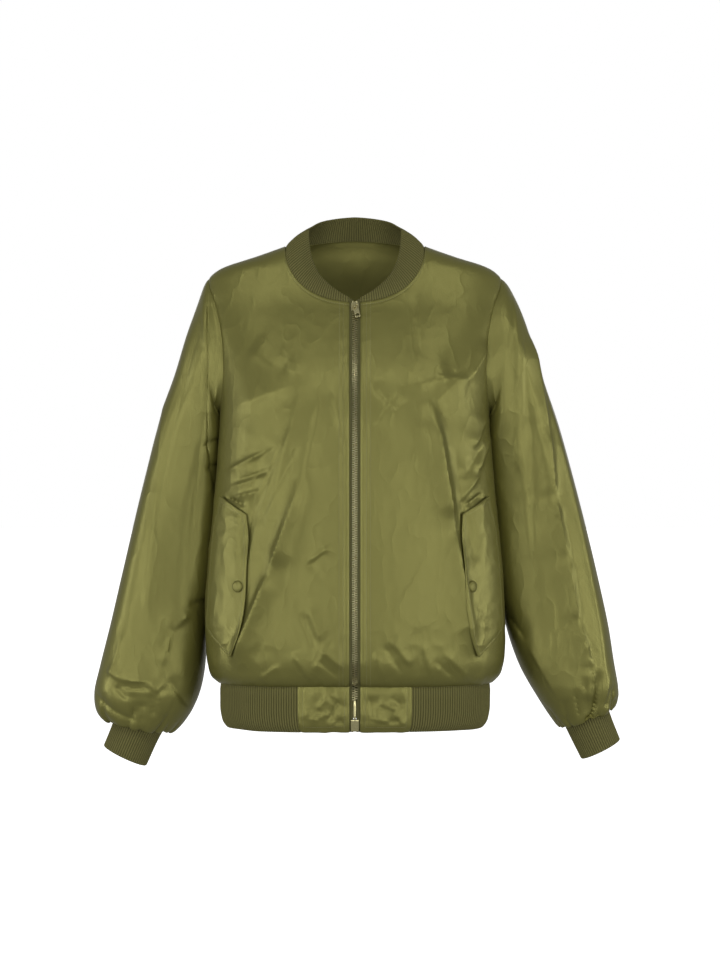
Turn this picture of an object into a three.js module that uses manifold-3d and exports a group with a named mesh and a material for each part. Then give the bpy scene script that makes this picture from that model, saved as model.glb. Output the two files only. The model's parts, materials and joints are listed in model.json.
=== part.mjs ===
// A zip-front bomber jacket in the hollow shape that it has when it is worn.
// Millimetres, +Z up. The front faces -Y, and +X is the wearer's left.
// The origin lies midway between the two points where the shoulder seams meet the collar.
import * as THREE from "three";
import { mergeVertices } from "three/addons/utils/BufferGeometryUtils.js";
import Module from "manifold-3d";

// Cloth and seams
const CLOTH = 1.6; // wall of the woven shell
const RIB = 2.6; // wall of the doubled rib knit, to the tops of its ribs
const RIB_DEPTH = 0.8; // groove between two ribs
const RIB_PITCH = 4.0;
const SEAM = 0.3; // gap that two pieces keep where they are sewn together
const ARM_SEAM = 0.5; // gap at the armhole, where two faceted curves meet at an angle
const LAYER = 0.3; // gap under what lies on a panel
const SQUARE = 2.4; // exponent of the rounded-box sections of the body

// Body: half width and the depths of the front and the back at each height, from the hem up
const BODY = [
  { z: -564, half: 177, front: 100, back: 98 },
  { z: -557, half: 184, front: 107, back: 104 },
  { z: -542, half: 190, front: 114, back: 109 },
  { z: -515, half: 193, front: 117, back: 112 },
  { z: -480, half: 194, front: 118, back: 113 },
  { z: -430, half: 192, front: 118, back: 113 },
  { z: -380, half: 188, front: 119, back: 112 },
  { z: -320, half: 182, front: 121, back: 110 },
  { z: -270, half: 178, front: 122, back: 110 },
  { z: -222, half: 175, front: 121, back: 111 },
  { z: -170, half: 178, front: 112, back: 110 },
  { z: -130, half: 185, front: 96, back: 105 },
  { z: -100, half: 191, front: 81, back: 98 },
  { z: -76, half: 194, front: 68, back: 90 },
  { z: -52, half: 193, front: 59, back: 81 },
  { z: -40, half: 188, front: 56, back: 75 },
  { z: -29, half: 173, front: 54, back: 69 },
  { z: -14, half: 131, front: 51, back: 62 },
  { z: 0, half: 90, front: 49, back: 57 },
  { z: 14, half: 50, front: 47, back: 51 },
];
const HEM_Z = BODY[0].z;

// Waistband: the same columns, from its folded edge up to its sewn edge
const BAND = [
  { z: -622, half: 166, front: 91, back: 89 },
  { z: -617, half: 170, front: 95, back: 93 },
  { z: -604, half: 174, front: 98, back: 96 },
  { z: -583, half: 175, front: 99, back: 97 },
  { z: -564.3, half: 175, front: 99, back: 97 },
];
const BAND_LOW = BAND[0].z;
const BAND_TOP = BAND.at(-1).z;
const BAND_HEIGHTS = [BAND_LOW, BAND_LOW + 12, BAND_TOP]; // the band and its tabs share these rows
const TAB_END = 72; // half width at which the woven tabs end and the rib begins
const BAND_HALF = 395; // length of the rib from a tab's end to the middle of the back

// Neck and armholes, cut out of the body
const NECK = { half: 90, drop: 76, rise: 13, square: 2.2 };
const ARMHOLE = { z: -131, half: 91, depth: 54, lean: 0.25 };
const SHOULDER_Z = ARMHOLE.z + ARMHOLE.half;
const UNDERARM_Z = ARMHOLE.z - ARMHOLE.half;

// Grids: the fronts, the back and the sleeves share their columns and rows where they meet
const COLUMNS = 12; // across half a panel
const NECK_COLUMN = 4; // the one that ends at the neck end of the shoulder seam
const LOWER_ROWS = 10; // from the hem to the underarm
const UPPER_ROWS = 12; // from the underarm to the shoulder
const SLEEVE_ROWS = 19;
const TAB_COLUMNS = 6;
const INNER_COLUMNS = { cuff: 24, band: 52, collar: 64 }; // the plain inside of the rib knit
const ROW_SPREAD = 1.35; // rows lie closer together towards the hem, where the body turns in
const SHOULDER_CURVE = 1.6; // the shoulder falls faster towards the armhole

// Sleeves: the outer and the inner point of each section as seen from the front, the section's middle
// in y and its half depth. Both tables are written on the +X side, and the right sleeve is mirrored.
const SLEEVES = {
  left: [
    { outX: 199, outZ: -50, inX: 178, inZ: -231, y: 4, depth: 57 },
    { outX: 212, outZ: -75, inX: 179, inZ: -242, y: 11, depth: 61 },
    { outX: 227, outZ: -115, inX: 180, inZ: -257, y: 20, depth: 65 },
    { outX: 243, outZ: -165, inX: 181, inZ: -279, y: 30, depth: 67 },
    { outX: 265, outZ: -228, inX: 182, inZ: -307, y: 38, depth: 68 },
    { outX: 286, outZ: -300, inX: 185, inZ: -343, y: 43, depth: 67 },
    { outX: 303, outZ: -366, inX: 189, inZ: -392, y: 44, depth: 65 },
    { outX: 318, outZ: -430, inX: 194, inZ: -444, y: 43, depth: 63 },
    { outX: 331, outZ: -490, inX: 201, inZ: -498, y: 40, depth: 61 },
    { outX: 339, outZ: -540, inX: 216, inZ: -545, y: 37, depth: 58 },
    { outX: 345, outZ: -575, inX: 237, inZ: -583, y: 34, depth: 54 },
    { outX: 345, outZ: -596, inX: 254, inZ: -609, y: 33, depth: 47 },
    { outX: 338, outZ: -605, inX: 268, inZ: -628, y: 32, depth: 38 },
    { outX: 331, outZ: -597, inX: 273, inZ: -620, y: 32, depth: 33 },
  ],
  right: [
    { outX: 196, outZ: -50, inX: 178, inZ: -231, y: 4, depth: 57 },
    { outX: 205, outZ: -75, inX: 179, inZ: -242, y: 11, depth: 61 },
    { outX: 219, outZ: -115, inX: 180, inZ: -257, y: 20, depth: 65 },
    { outX: 234, outZ: -165, inX: 181, inZ: -279, y: 30, depth: 68 },
    { outX: 256, outZ: -228, inX: 182, inZ: -307, y: 38, depth: 70 },
    { outX: 275, outZ: -300, inX: 184, inZ: -343, y: 43, depth: 70 },
    { outX: 291, outZ: -366, inX: 188, inZ: -392, y: 44, depth: 69 },
    { outX: 306, outZ: -430, inX: 192, inZ: -444, y: 43, depth: 67 },
    { outX: 320, outZ: -490, inX: 195, inZ: -498, y: 41, depth: 66 },
    { outX: 334, outZ: -545, inX: 198, inZ: -551, y: 38, depth: 65 },
    { outX: 342, outZ: -580, inX: 206, inZ: -587, y: 35, depth: 62 },
    { outX: 339, outZ: -606, inX: 222, inZ: -617, y: 33, depth: 54 },
    { outX: 326, outZ: -620, inX: 241, inZ: -635, y: 32, depth: 43 },
    { outX: 315, outZ: -612, inX: 249, inZ: -626, y: 32, depth: 36 },
  ],
};

// Cuffs: the same columns, from the sewn edge to the open edge
const CUFFS = {
  left: [
    { outX: 331, outZ: -597.5, inX: 273, inZ: -620.5, y: 32, depth: 33 },
    { outX: 338, outZ: -618, inX: 283, inZ: -641, y: 31, depth: 30.5 },
    { outX: 348, outZ: -643, inX: 297, inZ: -669, y: 30, depth: 29 },
  ],
  right: [
    { outX: 315, outZ: -612.5, inX: 249, inZ: -626.5, y: 32, depth: 36 },
    { outX: 321, outZ: -629, inX: 260, inZ: -647, y: 31, depth: 33 },
    { outX: 330, outZ: -651, inX: 274, inZ: -678, y: 30, depth: 31 },
  ],
};

// Collar: where its top edge lies against the neck seam. round is the way along the seam from the zip,
// inward the shift to the middle in x, high the rise and toward the shift to the middle in y.
const COLLAR = [
  { round: 0, inward: 0, high: 6, toward: 3 },
  { round: 15, inward: 1, high: 13, toward: 6 },
  { round: 40, inward: 8, high: 21, toward: 12 },
  { round: 75, inward: 22, high: 24, toward: 17 },
  { round: 101, inward: 29, high: 24, toward: 18 },
  { round: 125, inward: 30, high: 23, toward: 9 },
  { round: 152, inward: 29, high: 23, toward: 0 },
  { round: 175, inward: 26, high: 26, toward: 2 },
  { round: 200, inward: 17, high: 29, toward: 4 },
  { round: 232, inward: 7, high: 30, toward: 6 },
  { round: 266, inward: 0, high: 31, toward: 6 },
];
const COLLAR_BULGE = { high: 2.5, start: 30 }; // start: the way along the seam at which it is full

// Folds of the body as soft ridges (height above 0) and troughs, each along a line seen from the front
const FRONT_FOLDS = [
  { x1: -84, z1: -225, x2: -168, z2: -550, width: 14, height: 8 },
  { x1: -112, z1: -235, x2: -152, z2: -420, width: 15, height: -6 },
  { x1: -64, z1: -452, x2: -42, z2: -515, width: 12, height: -3 },
  { x1: -150, z1: -210, x2: -60, z2: -178, width: 16, height: 3 },
  { x1: 92, z1: -205, x2: 146, z2: -500, width: 14, height: 7 },
  { x1: 118, z1: -240, x2: 148, z2: -390, width: 14, height: -5 },
  { x1: 172, z1: -130, x2: 104, z2: -204, width: 14, height: 4 },
  { x1: 56, z1: -490, x2: 66, z2: -550, width: 12, height: -4 },
  { x1: -12, z1: -500, x2: -60, z2: -550, width: 12, height: -4 },
];
const BACK_FOLDS = [
  { x1: -60, z1: -120, x2: -128, z2: -300, width: 18, height: 4 },
  { x1: -104, z1: -230, x2: -140, z2: -515, width: 18, height: 6 },
  { x1: -70, z1: -330, x2: -84, z2: -545, width: 16, height: -5 },
  { x1: 20, z1: -300, x2: 6, z2: -535, width: 20, height: 4 },
  { x1: 64, z1: -120, x2: 122, z2: -290, width: 18, height: 4 },
  { x1: 110, z1: -240, x2: 146, z2: -525, width: 18, height: 6 },
  { x1: 78, z1: -340, x2: 98, z2: -550, width: 16, height: -5 },
];
// Folds of a sleeve: turn is the angle round it, 0 outside, 90 in front and 180 inside, and along runs
// from the armhole (0) to the cuff (1)
const SLEEVE_FOLDS = {
  left: [
    { turn1: 62, along1: 0.1, turn2: 96, along2: 0.6, width: 14, height: 5 },
    { turn1: 36, along1: 0.15, turn2: 58, along2: 0.9, width: 14, height: 5 },
    { turn1: 84, along1: 0.8, turn2: 88, along2: 0.93, width: 12, height: -5 },
    { turn1: 22, along1: 0.82, turn2: 18, along2: 0.93, width: 12, height: -5 },
    { turn1: 258, along1: 0.15, turn2: 272, along2: 0.6, width: 16, height: 5 },
    { turn1: 300, along1: 0.25, turn2: 310, along2: 0.9, width: 16, height: -5 },
  ],
  right: [
    { turn1: 96, along1: 0.1, turn2: 112, along2: 0.55, width: 13, height: -6 },
    { turn1: 60, along1: 0.12, turn2: 84, along2: 0.55, width: 16, height: -6 },
    { turn1: 20, along1: 0.76, turn2: 96, along2: 0.88, width: 14, height: -5 },
    { turn1: 258, along1: 0.15, turn2: 270, along2: 0.6, width: 16, height: 5 },
    { turn1: 300, along1: 0.25, turn2: 310, along2: 0.9, width: 16, height: -5 },
  ],
};
const SLEEVE_RADIUS = 62; // turns a fold's turn into a width of cloth
const SLEEVE_LONG = 560;
// Where folds fade out, as shares of a panel or sleeve, and beside the zip in columns
const PANEL_FADE = { hem: 0.08, top: 0.12, side: 0.2, zip: 2 };
const SLEEVE_FADE = { armhole: 0.06, cuff: 0.08 };

// Pocket flap: its sewn and its free edge on the wearer's left front; the right flap is mirrored
const FLAP = [
  { sewnX: 168, sewnZ: -323, freeX: 136, freeZ: -346 },
  { sewnX: 173, sewnZ: -365, freeX: 134, freeZ: -382 },
  { sewnX: 176, sewnZ: -412, freeX: 135, freeZ: -432 },
  { sewnX: 178, sewnZ: -460, freeX: 138, freeZ: -480 },
  { sewnX: 178, sewnZ: -497, freeX: 144, freeZ: -508 },
  { sewnX: 174, sewnZ: -512, freeX: 150, freeZ: -520 },
  { sewnX: 162, sewnZ: -524, freeX: 156, freeZ: -526 },
];
const FLAP_THICK = 2.0;
const FLAP_LIFT = { left: 2.0, right: 2.7 }; // gap under a flap, which spans the folds of its front
const FLAP_GRID = { rows: 14, columns: 5 };
const SNAP = { x: 145, z: -437, radius: 7.5, high: 3.0, sides: 14, sag: 0.7 }; // sag: crown of the flap there

// Zip
const ZIP_EDGE = 8.5; // half of the gap between the two front edges
const TAPE = { inner: 3.8, outer: 14, thick: 1.0, above: 5 };
const CHAIN = { half: 3.5, thick: 2.6, top: -87, low: -580 };
const PIN = { half: 1.6, thick: 2.0, top: -580.3, low: -604.7 };
const BOX = { half: 5, thick: 3.4, top: -605, above: 1 };
const STOP = { x1: 1.2, x2: 3.5, top: -74.5, low: -77 };

// Slider, in a frame of its own: x across, y out of the zip and z up along it, with the middle of the
// chain at y = 0. The bridge is a strap on the front plate that holds the pull tab's bar.
const SLIDER = { z: -84, half: 5.2, narrow: 4.2, top: 4.16, reach: 6.5, waist: 1.3, plate: 1.4, gap: 0.4 };
const POST = { half: 2.6, high: 4.5 };
const SINK = 0.2; // how far two blocks of the slider reach into each other
const BRIDGE = { half: 0.8, top: 5.0, low: -3.4, foot: 1.2, clear: 2.6, strap: 1.2 };
const PULL = {
  bar: 1.4, half: 3.9, low: 3.4, corner: 1, long: 21, thick: 1.2, gap: 0.5, z: 2.2, tilt: 11,
};
const PULL_EYE = { half: 2.5, high: 7 };
const PULL_SLOT = { half: 2.1, high: 3.7, end: 1.8 };

const SHELL_COLOUR = 0x6f6f33;
const KNIT_COLOUR = 0x5f5d2b;
const TAPE_COLOUR = 0x66652f;
const BRASS_COLOUR = 0xb59a5a;

const radians = THREE.MathUtils.degToRad;
const clamp01 = (t) => THREE.MathUtils.clamp(t, 0, 1);
const mix = THREE.MathUtils.lerp;
const soft = (t) => THREE.MathUtils.smoothstep(t, 0, 1);
const steps = (count) => Array.from({ length: count + 1 }, (_, k) => k / count);
const place = (x, y, z) => new THREE.Vector3(x, y, z);
// A place on the wearer's left, moved to the side that hand (1 or -1) says
const onSide = (p, hand) => place(hand * p.x, p.y, p.z);

// A smooth curve through one column of a table: cubic pieces whose slope at a row is that of the
// parabola through it and its two neighbours.
function through(rows, along, column) {
  const t = rows.map((row) => row[along]);
  const v = rows.map((row) => row[column]);
  const last = t.length - 1;
  const rise = (k) => (v[k + 1] - v[k]) / (t[k + 1] - t[k]);
  const slopes = t.map((_, k) => {
    if (k === 0) return rise(0);
    if (k === last) return rise(last - 1);
    const before = t[k] - t[k - 1];
    const after = t[k + 1] - t[k];
    return (rise(k - 1) * after + rise(k) * before) / (before + after);
  });
  return (at) => {
    const x = THREE.MathUtils.clamp(at, t[0], t[last]);
    let k = 0;
    while (k < last - 1 && x > t[k + 1]) k += 1;
    const h = t[k + 1] - t[k];
    const s = (x - t[k]) / h;
    const bend = slopes[k] * s * (1 - s) ** 2 - slopes[k + 1] * s * s * (1 - s);
    return mix(v[k], v[k + 1], s * s * (3 - 2 * s)) + h * bend;
  };
}

// A tube of rounded-box sections whose half width and depth follow the height. side is -1 in front and
// 1 behind, and the two halves stay half a seam gap off the plane between them.
function sections(rows) {
  const half = through(rows, "z", "half");
  const depths = { "-1": through(rows, "z", "front"), 1: through(rows, "z", "back") };
  // (x / half)^n + (y / depth)^n, whose gradient points straight out of the surface
  const field = (x, y, z, side) =>
    Math.abs(x / half(z)) ** SQUARE + Math.abs(y / depths[side](z)) ** SQUARE;
  return {
    half,
    point(x, z, side) {
      const across = Math.min(1, Math.abs(x) / half(z));
      const y = depths[side](z) * (1 - across ** SQUARE) ** (1 / SQUARE);
      return place(x, side * Math.max(y, SEAM / 2), z);
    },
    across: (y, z, side) => half(z) * (1 - Math.abs(y / depths[side](z)) ** SQUARE) ** (1 / SQUARE),
    normal(p, side) {
      const d = 0.5;
      const flat = Math.abs(p.y) <= SEAM / 2;
      return place(
        field(p.x + d, p.y, p.z, side) - field(p.x - d, p.y, p.z, side),
        flat ? 0 : field(p.x, p.y + d, p.z, side) - field(p.x, p.y - d, p.z, side),
        field(p.x, p.y, p.z + d, side) - field(p.x, p.y, p.z - d, side),
      ).normalize();
    },
  };
}
const body = sections(BODY);
const band = sections(BAND);

// Height of a soft ridge or trough at a place: a bell across its line, fading out towards both ends
function foldHeight(u, w, from, to, fold) {
  const [du, dw] = [to.u - from.u, to.w - from.w];
  const t = ((u - from.u) * du + (w - from.w) * dw) / (du * du + dw * dw);
  const off = Math.hypot(u - mix(from.u, to.u, clamp01(t)), w - mix(from.w, to.w, clamp01(t)));
  const ends = soft(t / 0.2 + 0.5) * soft((1 - t) / 0.2 + 0.5);
  return fold.height * Math.exp(-((off / fold.width) ** 2)) * ends;
}

const bodyFolds = (folds, x, z) =>
  folds.reduce((sum, f) => sum + foldHeight(x, z, { u: f.x1, w: f.z1 }, { u: f.x2, w: f.z2 }, f), 0);

function sleeveFolds(folds, turn, along) {
  const at = (degrees, share) => ({ u: radians(degrees) * SLEEVE_RADIUS, w: share * SLEEVE_LONG });
  const { u, w } = at(THREE.MathUtils.radToDeg(turn), along);
  return folds.reduce(
    (sum, f) => sum + foldHeight(u, w, at(f.turn1, f.along1), at(f.turn2, f.along2), f),
    0,
  );
}

// Triangles between two rows of vertex numbers that run the same way and may differ in count
function strip(a, b, faces) {
  let i = 0;
  let j = 0;
  while (i < a.length - 1 || j < b.length - 1) {
    const nextA = (i + 1) / (a.length - 1);
    const nextB = (j + 1) / (b.length - 1);
    if (nextA <= nextB) faces.push(a[i], a[++i], b[j]);
    else faces.push(a[i], b[j + 1], b[j++]);
  }
}

// A geometry from places and faces, with every face turned round if its volume comes out negative
function facingOut(places, faces) {
  const at = (k) => place(...places.slice(3 * k, 3 * k + 3));
  let volume = 0;
  for (let k = 0; k < faces.length; k += 3) {
    volume += at(faces[k]).dot(at(faces[k + 1]).cross(at(faces[k + 2])));
  }
  return new THREE.BufferGeometry()
    .setAttribute("position", new THREE.Float32BufferAttribute(places, 3))
    .setIndex(volume < 0 ? faces.toReversed() : faces);
}

// A closed wall between an outer and an inner grid of points, with as many rows in both. A round one
// comes back to its first column.
function wall(outer, inner, round = false) {
  const places = [];
  const numbered = (rows) =>
    rows.map((row) => {
      const numbers = row.map((p) => places.push(p.x, p.y, p.z) / 3 - 1);
      return round ? [...numbers, numbers[0]] : numbers;
    });
  const out = numbered(outer);
  const inn = numbered(inner);
  const faces = [];
  const last = out.length - 1;
  for (let k = 0; k < last; k += 1) {
    strip(out[k], out[k + 1], faces);
    strip(inn[k + 1], inn[k], faces);
  }
  strip(inn[0], out[0], faces);
  strip(out[last], inn[last], faces);
  if (!round) {
    const column = (rows, at) => rows.map((row) => row.at(at));
    strip(column(out, 0), column(inn, 0), faces);
    strip(column(inn, -1), column(out, -1), faces);
  }
  return facingOut(places, faces);
}

const jacket = new THREE.Group();

function add(name, geometry, colour, parent = jacket) {
  const metal = colour === BRASS_COLOUR;
  const material = new THREE.MeshStandardMaterial({
    color: colour,
    roughness: metal ? 0.35 : 0.6,
    metalness: metal ? 1 : 0,
  });
  const mesh = new THREE.Mesh(geometry, material);
  mesh.name = name;
  parent.add(mesh);
}

// A wall whose two grids come from one function of row, column and rise, the height above its face
function addCloth(name, rows, columns, at, thick, colour, round = false) {
  const layer = (rise) => rows.map((row) => columns.map((column) => at(row, column, rise)));
  add(name, wall(layer(0), layer(-thick), round), colour);
}

// The armhole: an ellipse seen from the side, fuller below, that lies on the body.
// turn runs from the shoulder (0) over the front (side -1) or the back (side 1) to the underarm.
function armhole(turn, side) {
  const z = ARMHOLE.z + ARMHOLE.half * Math.cos(turn);
  const y = ARMHOLE.depth * Math.sin(turn) * (1 - ARMHOLE.lean * Math.cos(turn));
  return place(body.across(y, z, side), side * Math.max(y, SEAM / 2), z);
}

// How far across half a panel a column lies, closer together towards the side, where the body turns
const columnPart = (column) => Math.sin((column / COLUMNS) * (Math.PI / 2)) ** (2 / SQUARE);
const NECK_PART = columnPart(NECK_COLUMN);

// The top edge of half a panel in the front view: the neckline up to NECK_PART, then the shoulder
function topEdge(s, side) {
  if (s > NECK_PART) {
    const z = SHOULDER_Z * ((s - NECK_PART) / (1 - NECK_PART)) ** SHOULDER_CURVE;
    return { x: body.half(z), z };
  }
  const part = s / NECK_PART;
  if (side > 0) return { x: NECK.half * part, z: NECK.rise * (1 - part ** 2) };
  const start = Math.asin((ZIP_EDGE / NECK.half) ** (NECK.square / 2));
  const turn = mix(start, Math.PI / 2, part);
  return {
    x: NECK.half * Math.sin(turn) ** (2 / NECK.square),
    z: -NECK.drop * Math.cos(turn) ** (2 / NECK.square),
  };
}

// Half a panel in the front view. Rows are level from the hem to the underarm. Above it, each point
// blends the four edges: underarm level, neckline and shoulder, middle, and armhole.
function panelPlace(column, row, side) {
  const middle = side < 0 ? ZIP_EDGE : 0;
  const s = columnPart(column);
  if (row <= LOWER_ROWS) {
    const z = mix(HEM_Z, UNDERARM_Z, (row / LOWER_ROWS) ** ROW_SPREAD);
    return { x: mix(middle, body.half(z), s), z };
  }
  const t = (row - LOWER_ROWS) / UPPER_ROWS;
  const top = topEdge(s, side);
  const neckEnd = topEdge(0, side);
  const arm = armhole(Math.PI * (1 - t), side);
  const low = { x: middle, z: UNDERARM_Z };
  const armpit = { x: body.half(UNDERARM_Z), z: UNDERARM_Z };
  const shoulder = { x: body.half(SHOULDER_Z), z: SHOULDER_Z };
  const blend = (key) => {
    const upDown = mix(mix(low[key], armpit[key], s), top[key], t);
    const leftRight = mix(mix(low[key], neckEnd[key], t), arm[key], s);
    const corners = mix(mix(low[key], armpit[key], s), mix(neckEnd[key], shoulder[key], s), t);
    return upDown + leftRight - corners;
  };
  return { x: blend("x"), z: blend("z") };
}

// A place on half a panel, rise above the cloth's face. Folds fade out towards the seams.
function panelPoint(column, row, rise, side, hand, folds) {
  const { x, z } = panelPlace(column, row, side);
  const base = body.point(x, z, side);
  let normal = body.normal(base, side);
  if (column === COLUMNS && row > LOWER_ROWS) {
    const turn = Math.PI * (1 - (row - LOWER_ROWS) / UPPER_ROWS);
    normal = mitre(normal, sleeveNormal(SLEEVES.left, -side * turn, 0), 1);
  }
  const up = row / (LOWER_ROWS + UPPER_ROWS);
  const over = column / COLUMNS;
  const levels = soft(up / PANEL_FADE.hem) * soft((1 - up) / PANEL_FADE.top);
  const edges = soft((1 - over) / PANEL_FADE.side) * (side < 0 ? soft((column - 1) / PANEL_FADE.zip) : 1);
  const lift = levels * edges * bodyFolds(folds, hand * x, z);
  return onSide(base.addScaledVector(normal, lift + rise), hand);
}

// Where the body (sign 1) and a sleeve (sign -1) meet on a convex edge, both walls end on the plane
// between them. In the hollow stretches each keeps the direction of its own face.
function mitre(own, other, sign) {
  return sign * (other.x - own.x) > 0 ? own.clone().add(other).normalize() : own;
}

function addPanels() {
  const rows = Array.from({ length: LOWER_ROWS + UPPER_ROWS + 1 }, (_, k) => k);
  const half = Array.from({ length: COLUMNS + 1 }, (_, k) => k);
  for (const [name, hand] of [["front_left", 1], ["front_right", -1]]) {
    const at = (row, column, rise) => panelPoint(column, row, rise, -1, hand, FRONT_FOLDS);
    addCloth(name, rows, half, at, CLOTH, SHELL_COLOUR);
  }
  const across = [...half.slice(1).reverse().map((column) => -column), ...half];
  const at = (row, column, rise) =>
    panelPoint(Math.abs(column), row, rise, 1, column < 0 ? -1 : 1, BACK_FOLDS);
  addCloth("back", rows, across, at, CLOTH, SHELL_COLOUR);
}

// A sleeve or cuff section: an ellipse between its outer and inner point. turn is 0 outside, 90 in front.
function ring(section, turn, rise = 0) {
  const { outX, outZ, inX, inZ, y, depth } = section;
  const reach = (0.5 + rise / Math.hypot(outX - inX, outZ - inZ)) * Math.cos(turn);
  return place(
    (outX + inX) / 2 + reach * (outX - inX),
    y - (depth + rise) * Math.sin(turn),
    (outZ + inZ) / 2 + reach * (outZ - inZ),
  );
}

// A place on a sleeve's face: the armhole at along = 0, then the table's sections, evenly spaced
function sleevePlace(table, turn, along) {
  const side = Math.sin(turn) > 0 ? -1 : 1;
  const edge = armhole(Math.acos(Math.cos(turn)), side);
  edge.x += ARM_SEAM;
  const points = [edge, ...table.map((section) => ring(section, turn))];
  const rows = points.map((p, k) => ({ k, x: p.x, y: p.y, z: p.z }));
  const at = along * table.length;
  return place(...["x", "y", "z"].map((key) => through(rows, "k", key)(at)));
}

function sleeveNormal(table, turn, along) {
  const d = 0.004;
  const down = sleevePlace(table, turn, along + d).sub(sleevePlace(table, turn, along - d));
  const round = sleevePlace(table, turn + d, along).sub(sleevePlace(table, turn - d, along));
  return round.cross(down).normalize();
}

function addSleeve(name, table, folds, hand) {
  const at = (along, turn, rise) => {
    let normal = sleeveNormal(table, turn, along);
    if (along === 0) {
      const side = Math.sin(turn) > 0 ? -1 : 1;
      normal = mitre(normal, body.normal(armhole(Math.acos(Math.cos(turn)), side), side), -1);
    }
    const fade = soft(along / SLEEVE_FADE.armhole) * soft((1 - along) / SLEEVE_FADE.cuff);
    const lift = fade * sleeveFolds(folds, turn, along);
    return onSide(sleevePlace(table, turn, along).addScaledVector(normal, lift + rise), hand);
  };
  const turns = steps(2 * UPPER_ROWS).slice(0, -1).map((t) => 2 * Math.PI * t);
  addCloth(name, steps(SLEEVE_ROWS), turns, at, CLOTH, SHELL_COLOUR, true);
}

// Rib knit: of two neighbouring columns one stands on a rib and one lies in a groove
const ribRise = (k) => (k % 2 ? -RIB_DEPTH : 0);

function addCuff(name, table, hand) {
  const ribs = Math.round((2 * Math.PI * table.at(-1).depth) / RIB_PITCH);
  const turns = (count) => steps(count).slice(0, -1).map((t) => 2 * Math.PI * t);
  const at = (row, t, rise) => onSide(ring(row, t, rise), hand);
  const outer = table.map((row) => turns(2 * ribs).map((t, k) => at(row, t, ribRise(k))));
  const inner = table.map((row) => turns(INNER_COLUMNS.cuff).map((t) => at(row, t, -RIB)));
  add(name, wall(outer, inner, true), KNIT_COLOUR);
}

// A place on the waistband: share runs from 0 in the middle of the front to 1 in the middle of the back
function bandPlace(share, z, rise, hand = 1) {
  const x = band.half(z) * Math.sin(share * Math.PI) ** (2 / SQUARE);
  const side = share < 0.5 ? -1 : 1;
  const base = band.point(x, z, side);
  return onSide(base.addScaledVector(band.normal(base, side), rise), hand);
}
const shareAt = (x) => Math.asin((x / band.half(BAND_TOP)) ** (SQUARE / 2)) / Math.PI;

function addWaistband() {
  const start = shareAt(TAB_END + SEAM / 2);
  const ribs = Math.round((2 * BAND_HALF) / RIB_PITCH);
  const at = (t, z, rise) => {
    const share = mix(start, 2 - start, t);
    return share <= 1 ? bandPlace(share, z, rise) : bandPlace(2 - share, z, rise, -1);
  };
  const outer = BAND_HEIGHTS.map((z) => steps(2 * ribs).map((t, k) => at(t, z, ribRise(k))));
  const inner = BAND_HEIGHTS.map((z) => steps(INNER_COLUMNS.band).map((t) => at(t, z, -RIB)));
  add("waistband", wall(outer, inner), KNIT_COLOUR);
}

function addTab(name, hand) {
  const shares = steps(TAB_COLUMNS).map((t) => mix(shareAt(ZIP_EDGE), shareAt(TAB_END - SEAM / 2), t));
  const at = (z, share, rise) => bandPlace(share, z, rise, hand);
  addCloth(name, BAND_HEIGHTS, shares, at, RIB, SHELL_COLOUR);
}

// The neck seam from the left front end round the back to the right one: straight pieces between the
// panels' own points there, each with the panel's normal, read by the way along them.
function neckSeam() {
  const half = Array.from({ length: NECK_COLUMN + 1 }, (_, k) => k);
  const onPanel = (column, side) => {
    const { x, z } = topEdge(columnPart(column), side);
    const p = body.point(x, z, side);
    return { p, normal: body.normal(p, side) };
  };
  const left = [...half.map((k) => onPanel(k, -1)), ...half.toReversed().map((k) => onPanel(k, 1))];
  const right = left.slice(0, -1).toReversed();
  const mirrored = right.map(({ p, normal }) => ({ p: onSide(p, -1), normal: onSide(normal, -1) }));
  const ends = [...left, ...mirrored];
  const ways = [0];
  for (let k = 1; k < ends.length; k += 1) {
    ways.push(ways[k - 1] + ends[k].p.distanceTo(ends[k - 1].p));
  }
  const at = (way, key) => {
    let k = 1;
    while (k < ends.length - 1 && way > ways[k]) k += 1;
    const t = (way - ways[k - 1]) / (ways[k] - ways[k - 1]);
    return ends[k - 1][key].clone().lerp(ends[k][key], t);
  };
  return { at, long: ways.at(-1) };
}

function addCollar() {
  const seam = neckSeam();
  const shift = Object.fromEntries(
    ["inward", "high", "toward"].map((key) => [key, through(COLLAR, "round", key)]),
  );
  const at = (way, level, rise) => {
    const low = seam.at(way, "p");
    const round = Math.min(way, seam.long - way);
    const lean = place(
      -Math.sign(Math.round(low.x)) * shift.inward(round),
      (low.y < 0 ? 1 : -1) * shift.toward(round),
      shift.high(round),
    );
    const before = seam.at(Math.max(way - RIB_PITCH * 2, 0), "p");
    const after = seam.at(Math.min(way + RIB_PITCH * 2, seam.long), "p");
    const own = after.sub(before).cross(lean).normalize();
    const normal = level === 0 ? seam.at(way, "normal").normalize() : own;
    const start = lean.clone().normalize().multiplyScalar(SEAM);
    const bulge = COLLAR_BULGE.high * 4 * level * (1 - level) * soft(round / COLLAR_BULGE.start);
    return low.add(start).addScaledVector(lean, level).addScaledVector(normal, bulge + rise);
  };
  const ribs = Math.round(seam.long / RIB_PITCH);
  const ways = (count) => steps(count).map((t) => t * seam.long);
  const levels = [0, 0.5, 1];
  const outer = levels.map((level) => ways(2 * ribs).map((way, k) => at(way, level, ribRise(k))));
  const inner = levels.map((level) => ways(INNER_COLUMNS.collar).map((way) => at(way, level, -RIB)));
  add("collar", wall(outer, inner), KNIT_COLOUR);
}

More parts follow.
